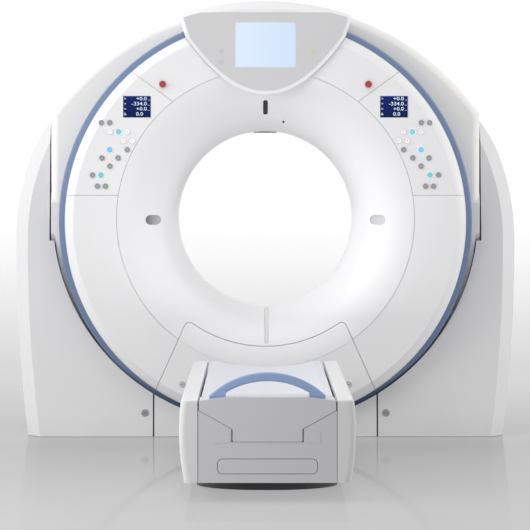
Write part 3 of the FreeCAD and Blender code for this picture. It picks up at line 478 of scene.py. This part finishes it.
# painted shade: the side windows' tone runs from dark at one edge to pale at the other
sides = add(tree, "ShaderNodeValToRGB")
sides.color_ramp.elements[0].color = (0.12, 0.12, 0.13, 1)
sides.color_ramp.elements[1].color = (0.62, 0.62, 0.64, 1)
for spot, tone in ((0.065, 0.50), (0.935, 0.48)):
    sides.color_ramp.elements.new(spot).color = (tone, tone, tone, 1)
upright = add(tree, "ShaderNodeMapRange")
upright.inputs["From Min"].default_value = -0.40
upright.inputs["From Max"].default_value = 0.40
middle = add(tree, "ShaderNodeValToRGB")
middle.color_ramp.elements[0].color = (0.70, 0.70, 0.71, 1)
middle.color_ramp.elements[1].color = (0.035, 0.035, 0.04, 1)
off_centre = add(tree, "ShaderNodeMath", operation="ABSOLUTE")
is_side = add(tree, "ShaderNodeMath", operation="GREATER_THAN")
is_side.inputs[1].default_value = 0.3
pick = add(tree, "ShaderNodeMix", data_type="RGBA")
wire(tree, [
    (place.outputs["Object"], split.inputs[0]), (split.outputs["X"], across.inputs["Value"]),
    (across.outputs[0], sides.inputs[0]), (split.outputs["Z"], upright.inputs["Value"]),
    (upright.outputs[0], middle.inputs[0]), (split.outputs["X"], off_centre.inputs[0]),
    (off_centre.outputs[0], is_side.inputs[0]), (is_side.outputs[0], pick.inputs["Factor"]),
    (middle.outputs[0], pick.inputs["A"]), (sides.outputs[0], pick.inputs["B"]),
    (pick.outputs["Result"], shader.inputs["Base Color"]),
])
finishes["window_dark"] = window

# %% Dress the construction
# painted light: the handle's blue is a lighter copy of the ring's blue lacquer, lifting its shaded front
HANDLE_BLUE_LIT = moulded("handle_blue_lit", (0.270, 0.380, 0.620), 0.28, 0.36, coat=0.4, grain_scale=1500.0)
# painted shade: the couch side covers' white is a darker, shaded copy of the cover white
COUCH_COVER_SHADED = moulded("couch_cover_shaded", (0.70, 0.70, 0.705), 0.28, 0.36, coat=0.25, drift_amount=0.02)
LIGHT_CAP = moulded("cap_light", (0.56, 0.56, 0.57), 0.35, 0.50, grain_scale=1800.0)
# painted shade: the stand covers' white is a darker, shaded copy of the cover white
STAND_SHADED = moulded("stand_cover", (0.665, 0.66, 0.668), 0.34, 0.44, coat=0.1, foot_shaded=True)
SLOTS = {entry["node"]: entry["material_slot"] for entry in frame["record"]["subparts"]}
for node, piece in nodes.items():
    piece.data.materials.clear()
    finish = finishes[SLOTS[node]]
    if node.startswith(("stand_cover", "base_cover")):
        finish = STAND_SHADED
    elif node == "panel_lock_caps":
        finish = LIGHT_CAP
    elif node.startswith("side_cover"):
        finish = COUCH_COVER_SHADED
    elif node == "pull_handle":
        finish = HANDLE_BLUE_LIT
    piece.data.materials.append(finish)
print("dressed", len(nodes), "nodes in", len(set(SLOTS.values())), "finishes")


# %% [markdown]
# The fine pieces are modelled as by hand: a primitive at its size, faces picked in code, then inset,
# extrude and bevel.  These helpers keep the selection honest, because an operator acts on all that is
# selected, and they lay a finished piece down at the origin with its place in its mesh.

# %% Modelling helpers
def only(piece):
    """Select one object and nothing else."""
    if bpy.context.object is not None and bpy.context.object.mode != "OBJECT":
        bpy.ops.object.mode_set(mode="OBJECT")
    bpy.ops.object.select_all(action="DESELECT")
    piece.select_set(True)
    bpy.context.view_layer.objects.active = piece


def clear_selection():
    bpy.ops.object.select_all(action="DESELECT")


def pick_faces(piece, test):
    """In edit mode, select the faces that pass the test and no others."""
    bpy.ops.mesh.select_mode(type="FACE")
    bpy.ops.mesh.select_all(action="DESELECT")
    mesh = bmesh.from_edit_mesh(piece.data)
    for face in mesh.faces:
        if test(face):
            face.select_set(True)
    bmesh.update_edit_mesh(piece.data)


def faces_front(face):
    return face.normal.y < -0.9


def soften(piece, width, segments=2):
    """A small rounding on every sharp edge, applied."""
    only(piece)
    rounding = piece.modifiers.new("rounding", "BEVEL")
    rounding.width = width
    rounding.segments = segments
    rounding.limit_method = "ANGLE"
    bpy.ops.object.modifier_apply(modifier=rounding.name)


def lay_down(piece):
    only(piece)
    bpy.ops.object.transform_apply(location=True, rotation=True, scale=True)
    bpy.ops.object.shade_smooth_by_angle(angle=math.radians(35))


def twin_at(model, shift, name):
    """A copy of a finished piece with its own mesh, moved by shift."""
    only(model)
    bpy.ops.object.duplicate()
    twin = bpy.context.active_object
    twin.name = name
    bpy.ops.transform.translate(value=shift)
    bpy.ops.object.transform_apply(location=True, rotation=True, scale=True)
    return twin


def join_all(pieces, name):
    only(pieces[0])
    for piece in pieces:
        piece.select_set(True)
    if len(pieces) > 1:
        bpy.ops.object.join()
    joined = bpy.context.active_object
    joined.name = name
    return joined


def hand_over(piece, body, slot, material=None):
    """Give the piece its finish and the body that it rides on."""
    piece.data.materials.clear()
    piece.data.materials.append(material or finishes[slot])
    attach(piece, body)


def discard(piece):
    bpy.data.objects.remove(piece, do_unlink=True)


# %% [markdown]
# Keys first.  On the real panel each key is a small silicone button with a dished top that stands a
# little proud of its hole.  One is modelled from a short cylinder: its front face is inset for a rim,
# pushed back for the dish, and the edges are rounded.  All the others are copies of it.

# %% One key cap
KEY_R = 11.6 * MM
PAD_FRONT = FACE_Y - 1.5 * MM
CAP_DEPTH = 2.4 * MM
clear_selection()
bpy.ops.mesh.primitive_cylinder_add(vertices=40, radius=KEY_R, depth=CAP_DEPTH,
                                    location=(0, PAD_FRONT - CAP_DEPTH / 2, 0),
                                    rotation=(math.radians(90), 0, 0))
cap = bpy.context.active_object
bpy.ops.object.transform_apply(location=True, rotation=True, scale=True)
bpy.ops.object.mode_set(mode="EDIT")
pick_faces(cap, faces_front)
bpy.ops.mesh.inset(thickness=1.8 * MM)
bpy.ops.transform.translate(value=(0, 0.5 * MM, 0))
bpy.ops.mesh.inset(thickness=3.0 * MM)
bpy.ops.transform.translate(value=(0, 0.4 * MM, 0))
bpy.ops.object.mode_set(mode="OBJECT")
soften(cap, 0.5 * MM)
lay_down(cap)
print("key cap:", len(cap.data.polygons), "faces")

# %% [markdown]
# The panel's sixteen keys come in four kinds: plain grey, white with a small mark, and two that glow,
# one turquoise and one blue.  Each kind is one list of places, as (x, z) on the right panel; the left
# panel mirrors them.  Lit keys get a pale halo ring, and marks are tiny bars and dots, no lettering.

# %% Key places
KEYS = {
    "grey": ((722, 422), (685, 422), (608, 303), (719, 267), (648, 267), (684, 231), (761, 192),
             (739, 143), (704, 143)),
    "white": ((683, 382), (607, 382), (625, 342), (586, 342)),
    "turquoise": ((646, 382), (724, 192)),
    "blue": ((685, 303),),
}
key_finish = {
    "grey": finishes["key_rubber"],
    "white": moulded("key_white", (0.93, 0.93, 0.94), 0.40, 0.55, grain_scale=2500.0),
    "turquoise": lit("key_turquoise", (0.20, 0.60, 0.68), (0.28, 0.70, 0.78), "Z", (0.1, 0.5)),
    "blue": lit("key_blue", (0.20, 0.55, 0.90), (0.30, 0.65, 0.98), "Z", (0.1, 0.5)),
}
halo_finish = lit("key_halo", (0.72, 0.92, 0.98), (0.78, 0.95, 1.0), "Z", (0.1, 0.5))

# %% [markdown]
# The halo is a thin washer.  A flat cylinder has both caps inset and removed, and the two openings are
# bridged.  A torus would stand too proud of the panel.

# %% Halo ring
clear_selection()
bpy.ops.mesh.primitive_cylinder_add(vertices=48, radius=15.5 * MM, depth=0.6 * MM,
                                    location=(0, FACE_Y - 0.3 * MM, 0), rotation=(math.radians(90), 0, 0))
halo = bpy.context.active_object
bpy.ops.object.transform_apply(location=True, rotation=True, scale=True)
bpy.ops.object.mode_set(mode="EDIT")
pick_faces(halo, lambda face: abs(face.normal.y) > 0.9)
bpy.ops.mesh.inset(thickness=3.2 * MM)
bpy.ops.mesh.delete(type="FACE")
bpy.ops.mesh.select_mode(type="EDGE")
bpy.ops.mesh.select_all(action="DESELECT")
bpy.ops.mesh.select_non_manifold()
bpy.ops.mesh.bridge_edge_loops()
bpy.ops.mesh.select_all(action="SELECT")
bpy.ops.mesh.normals_make_consistent(inside=False)
bpy.ops.object.mode_set(mode="OBJECT")
lay_down(halo)
print("halo:", len(halo.data.polygons), "faces")

# %% [markdown]
# A mark is a flat stud: a small cylinder for the dot and a small block for the bar, both rounded.

# %% Marks
DISH_FRONT = PAD_FRONT - CAP_DEPTH + 0.9 * MM
clear_selection()
bpy.ops.mesh.primitive_cylinder_add(vertices=20, radius=1.9 * MM, depth=0.6 * MM,
                                    location=(0, DISH_FRONT, 0), rotation=(math.radians(90), 0, 0))
dot = bpy.context.active_object
soften(dot, 0.15 * MM)
lay_down(dot)
clear_selection()
bpy.ops.mesh.primitive_cube_add(size=1, location=(0, DISH_FRONT, 0))
bar = bpy.context.active_object
bar.scale = (6.0 * MM, 0.6 * MM, 1.6 * MM)
bpy.ops.object.transform_apply(location=True, rotation=True, scale=True)
soften(bar, 0.15 * MM)
lay_down(bar)
mark_dark = moulded("mark_dark", (0.16, 0.15, 0.16), 0.5, 0.6)
mark_pale = moulded("mark_pale", (0.62, 0.63, 0.64), 0.5, 0.6)

# %% Fill both panels
for side, hand in ((1, "right"), (-1, "left")):
    for kind, spots in KEYS.items():
        caps = [twin_at(cap, (side * x * MM, 0, z * MM), "cap") for x, z in spots]
        hand_over(join_all(caps, "keys_%s_%s" % (kind, hand)), "tilting_gantry", "key_rubber",
                  key_finish[kind])
    glow = [twin_at(halo, (side * x * MM, 0, z * MM), "glow") for x, z in KEYS["turquoise"] + KEYS["blue"]]
    hand_over(join_all(glow, "key_halos_" + hand), "tilting_gantry", "key_rubber", halo_finish)
    dots = [twin_at(dot, (side * x * MM, 0, z * MM), "mark") for x, z in KEYS["white"]]
    hand_over(join_all(dots, "key_dots_" + hand), "tilting_gantry", "key_rubber", mark_dark)
    bars = [twin_at(bar, (side * x * MM, 0, z * MM), "mark") for x, z in KEYS["grey"]]
    hand_over(join_all(bars, "key_bars_" + hand), "tilting_gantry", "key_rubber", mark_pale)
for model in (cap, halo, dot, bar):
    discard(model)
print("keys on each panel:", sum(len(spots) for spots in KEYS.values()))

# %% [markdown]
# The small displays show the couch and tilt positions.  Text objects give clean digits; each line is
# turned into a mesh before it is placed, and the digits are plain numbers with a unit bar.

# %% Display digits
digit_finish = lit("digit_glow", (0.80, 0.86, 0.95), (0.85, 0.90, 1.0), "Z", (0.4, 0.6))
DISPLAY_LEFT = 504.5           # millimetres, as are the next three
DISPLAY_WIDTH = 121
DISPLAY_TOP = 539.0
ROW_PITCH = 22.5
ROWS = ("+0.0", "-334.0", "+0.0", "0.0")
ROW_REACH = 88
GLASS = FACE_Y - 0.6 * MM


def text_line(words, size, right_x, base_z):
    """One line of figures that ends at right_x, standing on base_z, just proud of the glass."""
    clear_selection()
    bpy.ops.object.text_add()
    line = bpy.context.active_object
    line.data.body = words
    line.data.size = size
    line.data.align_x = "RIGHT"
    line.data.extrude = 0.1 * MM
    line.data.offset = 0.1 * MM
    line.data.resolution_u = 3
    bpy.ops.object.convert(target="MESH")
    line = bpy.context.active_object
    line.scale = (1.25, 1.05, 1)
    line.rotation_euler = (math.radians(90), 0, 0)
    line.location = (right_x, GLASS - 0.15 * MM, base_z)
    bpy.ops.object.transform_apply(location=True, rotation=True, scale=True)
    return line


for start, hand in ((DISPLAY_LEFT, "right"), (-DISPLAY_LEFT - DISPLAY_WIDTH, "left")):
    lines = []
    for row, words in enumerate(ROWS):
        base_z = (DISPLAY_TOP - 18.5 - row * ROW_PITCH) * MM
        lines.append(text_line(words, 21 * MM, (start + ROW_REACH + (16 if row < 3 else 0)) * MM, base_z))
        lines.append(text_line(">+=&"[row], 14 * MM, (start + 14) * MM, base_z + 2 * MM))
        if row < 3:
            lines.append(text_line("--", 12 * MM, (start + 117) * MM, base_z - 2 * MM))
    hand_over(join_all(lines, "display_digits_" + hand), "tilting_gantry", "display_navy", digit_finish)
print("display rows:", len(ROWS))

# %% [markdown]
# A thin frame closes the gap between each display and the cover.  It starts as a flat block whose front
# and back faces are inset and removed, and the two openings are bridged, which leaves a clean frame.

# %% Frames
def framed(name, low, high, front, depth, width, radius):
    """A rectangular frame between two (x, z) corners with rounded outer corners."""
    clear_selection()
    middle = ((low[0] + high[0]) / 2, front + depth / 2, (low[1] + high[1]) / 2)
    bpy.ops.mesh.primitive_cube_add(size=1, location=middle)
    piece = bpy.context.active_object
    piece.scale = (high[0] - low[0], depth, high[1] - low[1])
    bpy.ops.object.transform_apply(location=True, rotation=True, scale=True)
    bpy.ops.object.mode_set(mode="EDIT")
    bpy.ops.mesh.select_mode(type="EDGE")
    bpy.ops.mesh.select_all(action="DESELECT")
    mesh = bmesh.from_edit_mesh(piece.data)
    for edge in mesh.edges:
        run = edge.verts[1].co - edge.verts[0].co
        edge.select_set(abs(run.y) > 0.5 * depth)
    bmesh.update_edit_mesh(piece.data)
    bpy.ops.mesh.bevel(offset=radius, segments=6, affect="EDGES")
    pick_faces(piece, lambda face: abs(face.normal.y) > 0.9)
    bpy.ops.mesh.inset(thickness=width)
    bpy.ops.mesh.delete(type="FACE")
    bpy.ops.mesh.select_mode(type="EDGE")
    bpy.ops.mesh.select_all(action="DESELECT")
    bpy.ops.mesh.select_non_manifold()
    bpy.ops.mesh.bridge_edge_loops()
    bpy.ops.mesh.select_all(action="SELECT")
    bpy.ops.mesh.normals_make_consistent(inside=False)
    bpy.ops.object.mode_set(mode="OBJECT")
    piece.name = name
    soften(piece, min(depth, width) * 0.2)
    lay_down(piece)
    return piece


frame_finish = moulded("display_frame", (0.55, 0.56, 0.62), 0.35, 0.5)
for start, hand in ((DISPLAY_LEFT, "right"), (-DISPLAY_LEFT - DISPLAY_WIDTH, "left")):
    bezel = framed("display_frame_" + hand, ((start - 2) * MM, 443 * MM),
                   ((start + DISPLAY_WIDTH + 2) * MM, 541 * MM), FACE_Y - 1.1 * MM, 1.6 * MM,
                   2.2 * MM, 4 * MM)
    hand_over(bezel, "tilting_gantry", "display_navy", frame_finish)

# %% [markdown]
# The console carries the large screen, a small lamp and two touch marks.  The screen gets a slim pale
# bezel made with the same frame function.

# %% Console bezel
console_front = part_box("console_face")[0].y
bezel = framed("screen_bezel", (screen_low.x - 3 * MM, screen_low.z - 3 * MM),
               (screen_high.x + 3 * MM, screen_high.z + 3 * MM), console_front - 0.4 * MM, 2 * MM,
               3.5 * MM, 3 * MM)
hand_over(bezel, "tilting_gantry", "console_grey", moulded("bezel_pale", (0.66, 0.70, 0.80), 0.3, 0.4))

# %% [markdown]
# The lamp is a half dome in a ring.  A sphere is flattened along Y and cut through its middle with
# bisect, which also fills the cut; the ring is a torus squeezed flat.

# %% Console lamp
LAMP = (208 * MM, 735 * MM)
clear_selection()
bpy.ops.mesh.primitive_uv_sphere_add(segments=32, ring_count=16, radius=7.5 * MM,
                                     location=(LAMP[0], console_front, LAMP[1]))
dome = bpy.context.active_object
dome.scale = (1, 0.35, 1)
bpy.ops.object.transform_apply(location=True, rotation=True, scale=True)
bpy.ops.object.mode_set(mode="EDIT")
bpy.ops.mesh.select_all(action="SELECT")
bpy.ops.mesh.bisect(plane_co=(0, console_front, 0), plane_no=(0, 1, 0), clear_outer=True, use_fill=True)
bpy.ops.object.mode_set(mode="OBJECT")
dome.name = "console_lamp"
lay_down(dome)
hand_over(dome, "tilting_gantry", "console_grey",
          lit("lamp_glow", (0.62, 0.66, 0.32), (0.74, 0.78, 0.45), "Z", (0.72, 0.75), 0.9))


def flat_ring(name, x, y, z, major, minor, squeeze):
    """A ring seen from the front, pressed flat along Y."""
    clear_selection()
    bpy.ops.mesh.primitive_torus_add(major_radius=major, minor_radius=minor, major_segments=48,
                                     minor_segments=10, location=(x, y, z),
                                     rotation=(math.radians(90), 0, 0))
    ring = bpy.context.active_object
    ring.name = name
    bpy.ops.object.transform_apply(location=False, rotation=True, scale=False)
    ring.scale = (1, squeeze, 1)
    lay_down(ring)
    return ring


ring = flat_ring("console_lamp_ring", LAMP[0], console_front, LAMP[1], 10.5 * MM, 1.2 * MM, 0.5)
hand_over(ring, "tilting_gantry", "console_grey", moulded("lamp_ring", (0.58, 0.60, 0.44), 0.4, 0.5))

# %% Touch marks
mark_finish = moulded("touch_mark", (0.42, 0.42, 0.43), 0.45, 0.55)
for number, (x, z, bars) in enumerate(((-194, 735, 2), (-194, 688, 1))):
    pieces = [flat_ring("mark", x * MM, console_front, z * MM, 9.5 * MM, 0.8 * MM, 0.5)]
    for step in range(bars):
        clear_selection()
        bpy.ops.mesh.primitive_cube_add(size=1, location=((x - 2.5 * (bars - 1) + 5 * step) * MM,
                                                          console_front - 0.1 * MM, z * MM))
        stroke = bpy.context.active_object
        stroke.scale = (2.0 * MM, 0.6 * MM, 9 * MM) if bars == 2 else (9 * MM, 0.6 * MM, 2.0 * MM)
        bpy.ops.object.transform_apply(location=True, rotation=True, scale=True)
        soften(stroke, 0.12 * MM)
        lay_down(stroke)
        pieces.append(stroke)
    hand_over(join_all(pieces, "touch_mark_%d" % number), "tilting_gantry", "console_grey", mark_finish)
print("console: bezel, lamp and 2 marks")

# %% [markdown]
# Quarter-turn caps close the service panel and the stand covers.  Each has a thin collar and a coin slot.
# The slot is a dark rounded bar laid on the cap, turned a little, as the last hand left it; its dark is
# painted shade for the groove.  The stop buttons get a wider collar, which is the guard against a chance
# touch.

# %% Caps and collars
LEAN = 0.1637                  # the stand faces lean back this much for each metre of height


def stand_face(z):
    """Depth of the leaning front face of the stands at a height."""
    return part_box("stand_cover_front_right")[0].y + LEAN * (z - FLOOR_Z)


def coin_slot(x, y, z, length, turn):
    clear_selection()
    bpy.ops.mesh.primitive_cube_add(size=1)
    slot = bpy.context.active_object
    slot.scale = (length, 0.8 * MM, 2.6 * MM)
    bpy.ops.object.transform_apply(location=False, rotation=False, scale=True)
    soften(slot, 0.3 * MM)
    slot.rotation_euler = (0, turn, 0)
    slot.location = (x, y, z)
    lay_down(slot)
    return slot


CAPS = (
    ("panel", 0.366, FACE_Y - 2 * MM, -0.730, 13 * MM, "tilting_gantry"),
    ("base", 0.533, stand_face(-0.861) - 3 * MM, -0.861, 16.5 * MM, "base"),
)
# painted shade: the slot bar is dark to stand for the shade in the groove
slot_shade = moulded("slot_shade", (0.10, 0.10, 0.105), 0.5, 0.6)
for place_name, x, front, z, radius, body in CAPS:
    collars = [flat_ring("collar", side * x, front + 0.3 * MM, z, radius - 1.2 * MM, 1.2 * MM, 0.7)
               for side in (1, -1)]
    hand_over(join_all(collars, "cap_collars_" + place_name), body, "cap_grey")
    slots = [coin_slot(side * x, front - 0.1 * MM, z, 1.1 * radius, math.radians(20 * side))
             for side in (1, -1)]
    hand_over(join_all(slots, "cap_slots_" + place_name), body, "cap_grey", slot_shade)
stop_low, stop_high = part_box("stop_button_right")
guards = [flat_ring("guard", side * (stop_low.x + stop_high.x) / 2, FACE_Y - 0.4 * MM,
                    (stop_low.z + stop_high.z) / 2, 17.5 * MM, 1.8 * MM, 0.9) for side in (1, -1)]
hand_over(join_all(guards, "stop_guards"), "tilting_gantry", "cover_white")
print("collars on", 2 * len(CAPS), "caps, guards on 2 stop buttons")

# %% [markdown]
# Dark seals outline each control panel.  Two straight bars lie in its upper and lower joints, and the
# joint along the funnel takes a thin ring, cut down with bisect to the stretch between the bars.

# %% Panel seals
SEAM_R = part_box("front_funnel")[1].x + 0.75 * MM
WEDGE_SLOPE = 0.7284           # rise of the panel's upper edge
WEDGE_RUN = 0.146              # and its run to the rim
SEAL = 1.2 * MM
RIM_ROUNDING = 42 * MM
panel_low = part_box("control_panel_right")[0]
tip = Vector((panel_low.x, 0, math.sqrt(SEAM_R ** 2 - panel_low.x ** 2)))
foot = Vector((math.sqrt(SEAM_R ** 2 - panel_low.z ** 2), 0, panel_low.z - 0.75 * MM))


def straight_seal(start, end):
    """A sunk bar between two points of the front face."""
    run = end - start
    middle = (start + end) / 2
    clear_selection()
    bpy.ops.mesh.primitive_cube_add(size=1)
    bar = bpy.context.active_object
    bar.scale = (run.length, 2 * MM, SEAL)
    bpy.ops.object.transform_apply(location=False, rotation=False, scale=True)
    soften(bar, 0.2 * MM)
    bar.rotation_euler = (0, -math.atan2(run.z, run.x), 0)
    bar.location = (middle.x, FACE_Y + 1.5 * MM, middle.z)
    lay_down(bar)
    return bar


def bent_seal():
    """The thin ring in the funnel joint, between the lower and the upper bar."""
    clear_selection()
    bpy.ops.mesh.primitive_torus_add(major_radius=SEAM_R, minor_radius=SEAL / 2, major_segments=360,
                                     minor_segments=8, location=(0, FACE_Y + 1.2 * MM, 0),
                                     rotation=(math.radians(90), 0, 0))
    ring = bpy.context.active_object
    bpy.ops.object.transform_apply(location=True, rotation=True, scale=True)
    bpy.ops.object.mode_set(mode="EDIT")
    for end, keep in ((foot, -1), (tip, 1)):
        bpy.ops.mesh.select_all(action="SELECT")
        across = Vector((-end.z, 0, end.x)) * keep
        bpy.ops.mesh.bisect(plane_co=(0, 0, 0), plane_no=across, clear_outer=True, use_fill=True)
    bpy.ops.object.mode_set(mode="OBJECT")
    lay_down(ring)
    return ring


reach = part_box("front_cover")[1].x - RIM_ROUNDING
upper_end = tip + Vector((1, 0, WEDGE_SLOPE)) * WEDGE_RUN
seals = [straight_seal(tip, upper_end), straight_seal(foot, Vector((reach, 0, foot.z))), bent_seal()]
right_seal = join_all(seals, "panel_seals_right")
only(right_seal)
bpy.ops.object.duplicate()
left_seal = bpy.context.active_object
left_seal.name = "panel_seals_left"
left_seal.scale = (-1, 1, 1)
bpy.ops.object.transform_apply(location=True, rotation=True, scale=True)
bpy.ops.object.mode_set(mode="EDIT")
bpy.ops.mesh.select_all(action="SELECT")
bpy.ops.mesh.normals_make_consistent(inside=False)
bpy.ops.object.mode_set(mode="OBJECT")
for seal in (right_seal, left_seal):
    hand_over(seal, "tilting_gantry", "belt_rubber")
print("seals round 2 panels, ring radius", round(SEAM_R, 4))

# %% [markdown]
# A soft lip narrows the slot between the sliding table and each side cover.  It belongs to the fixed
# couch.  It stops just short of the end hood, the widest thing that slides, so nothing rubs; beside the
# narrower tabletop some of the slot stays open.

# %% Couch lips
table_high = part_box("table_end_hood")[1]
cover_low, cover_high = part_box("side_cover_right")
LIP_HEIGHT = cover_high.z - 7 * MM


def lip(side):
    inner = table_high.x + 0.8 * MM
    outer = cover_low.x - 0.1 * MM
    clear_selection()
    bpy.ops.mesh.primitive_cube_add(size=1, location=(
        side * (inner + outer) / 2, (cover_low.y + cover_high.y) / 2, LIP_HEIGHT))
    strip = bpy.context.active_object
    strip.scale = (outer - inner, cover_high.y - cover_low.y - 20 * MM, 5 * MM)
    bpy.ops.object.transform_apply(location=True, rotation=True, scale=True)
    soften(strip, 1 * MM)
    lay_down(strip)
    return strip


hand_over(join_all([lip(side) for side in (1, -1)], "couch_lips"), "couch", "rail_white",
          moulded("lip_rubber", (0.42, 0.42, 0.43), 0.5, 0.6))
print("slots beside the end hood:", round((cover_low.x - table_high.x) / MM, 1), "mm")

# %% [markdown]
# A dark bar fills the joint between the centre cover and each stand, front and back: painted shade that
# stands for the shade in the gap.  It is a thin bar, sunk a little, whose top is pushed back so that it leans
# with the covers.

# %% Joint shade bars
JOINT_X = (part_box("base_cover_front")[1].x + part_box("stand_cover_front_right")[0].x) / 2
SHADE_BAR_TOP = -0.785
SUNK = 4 * MM


def joint_shade_bar(side, front):
    """One leaning bar; side is +1 or -1, front is -1 for the front joint and +1 for the back one."""
    low = FLOOR_Z + 2 * MM
    height = SHADE_BAR_TOP - low
    clear_selection()
    bpy.ops.mesh.primitive_cube_add(size=1, location=(
        side * JOINT_X, front * (-stand_face(low) - SUNK - 4 * MM), low + height / 2))
    bar = bpy.context.active_object
    bar.scale = (6 * MM, 8 * MM, height)
    bpy.ops.object.transform_apply(location=True, rotation=True, scale=True)
    bpy.ops.object.mode_set(mode="EDIT")
    pick_faces(bar, lambda face: face.normal.z > 0.9)
    bpy.ops.transform.translate(value=(0, -front * LEAN * height, 0))
    bpy.ops.object.mode_set(mode="OBJECT")
    soften(bar, 1 * MM)
    lay_down(bar)
    return bar


for front, end in ((-1, "front"), (1, "rear")):
    bars = [joint_shade_bar(side, front) for side in (1, -1)]
    hand_over(join_all(bars, "joint_shade_bars_" + end), "base", "belt_rubber")
print("gaskets at x =", round(JOINT_X, 3))

# %% [markdown]
# The back of each stand breathes through a louvred vent.  A frame like those of the displays holds a row
# of slats.  One slat is a flat bar, rounded and tilted, and the others are copies one pitch lower.  The
# whole vent is built upright, then turned to lie on the leaning face.  It sits low and well outside the
# ring's circle, so the ring clears it when it tilts.

# %% Stand vents
VENT = (0.26, 0.12)            # width and height
SLAT_PITCH = 0.018
VENT_AT = (0.82, -0.80)        # x and z of its middle
vent_frame = moulded("vent_frame", (0.55, 0.55, 0.56), 0.40, 0.55)


def vent(side):
    """A louvred vent on the back face of one stand."""
    width, height = VENT
    rim = framed("rim", (-width / 2, -height / 2), (width / 2, height / 2), -2 * MM, 4 * MM, 7 * MM, 10 * MM)
    clear_selection()
    bpy.ops.mesh.primitive_cube_add(size=1)
    slat = bpy.context.active_object
    slat.scale = (width - 12 * MM, 1.6 * MM, 12 * MM)
    bpy.ops.object.transform_apply(location=False, rotation=False, scale=True)
    soften(slat, 0.5 * MM)
    slat.rotation_euler = (math.radians(-12), 0, 0)
    slat.location = (0, 0.6 * MM, height / 2 - 15 * MM)
    lay_down(slat)
    count = int((height - 20 * MM) / SLAT_PITCH) + 1
    rows = [twin_at(slat, (0, 0, -row * SLAT_PITCH), "row") for row in range(count)]
    discard(slat)
    whole = join_all([rim] + rows, "vent")
    whole.rotation_euler = (math.atan(LEAN), 0, 0)
    x, z = VENT_AT
    whole.location = (side * x, -stand_face(z), z)
    lay_down(whole)
    return whole


for side, hand in ((1, "right"), (-1, "left")):
    grille = vent(side)
    grille.name = "stand_vent_" + hand
    hand_over(grille, "base", "cap_grey", vent_frame)
print("slats in each vent:", int((VENT[1] - 20 * MM) / SLAT_PITCH) + 1)
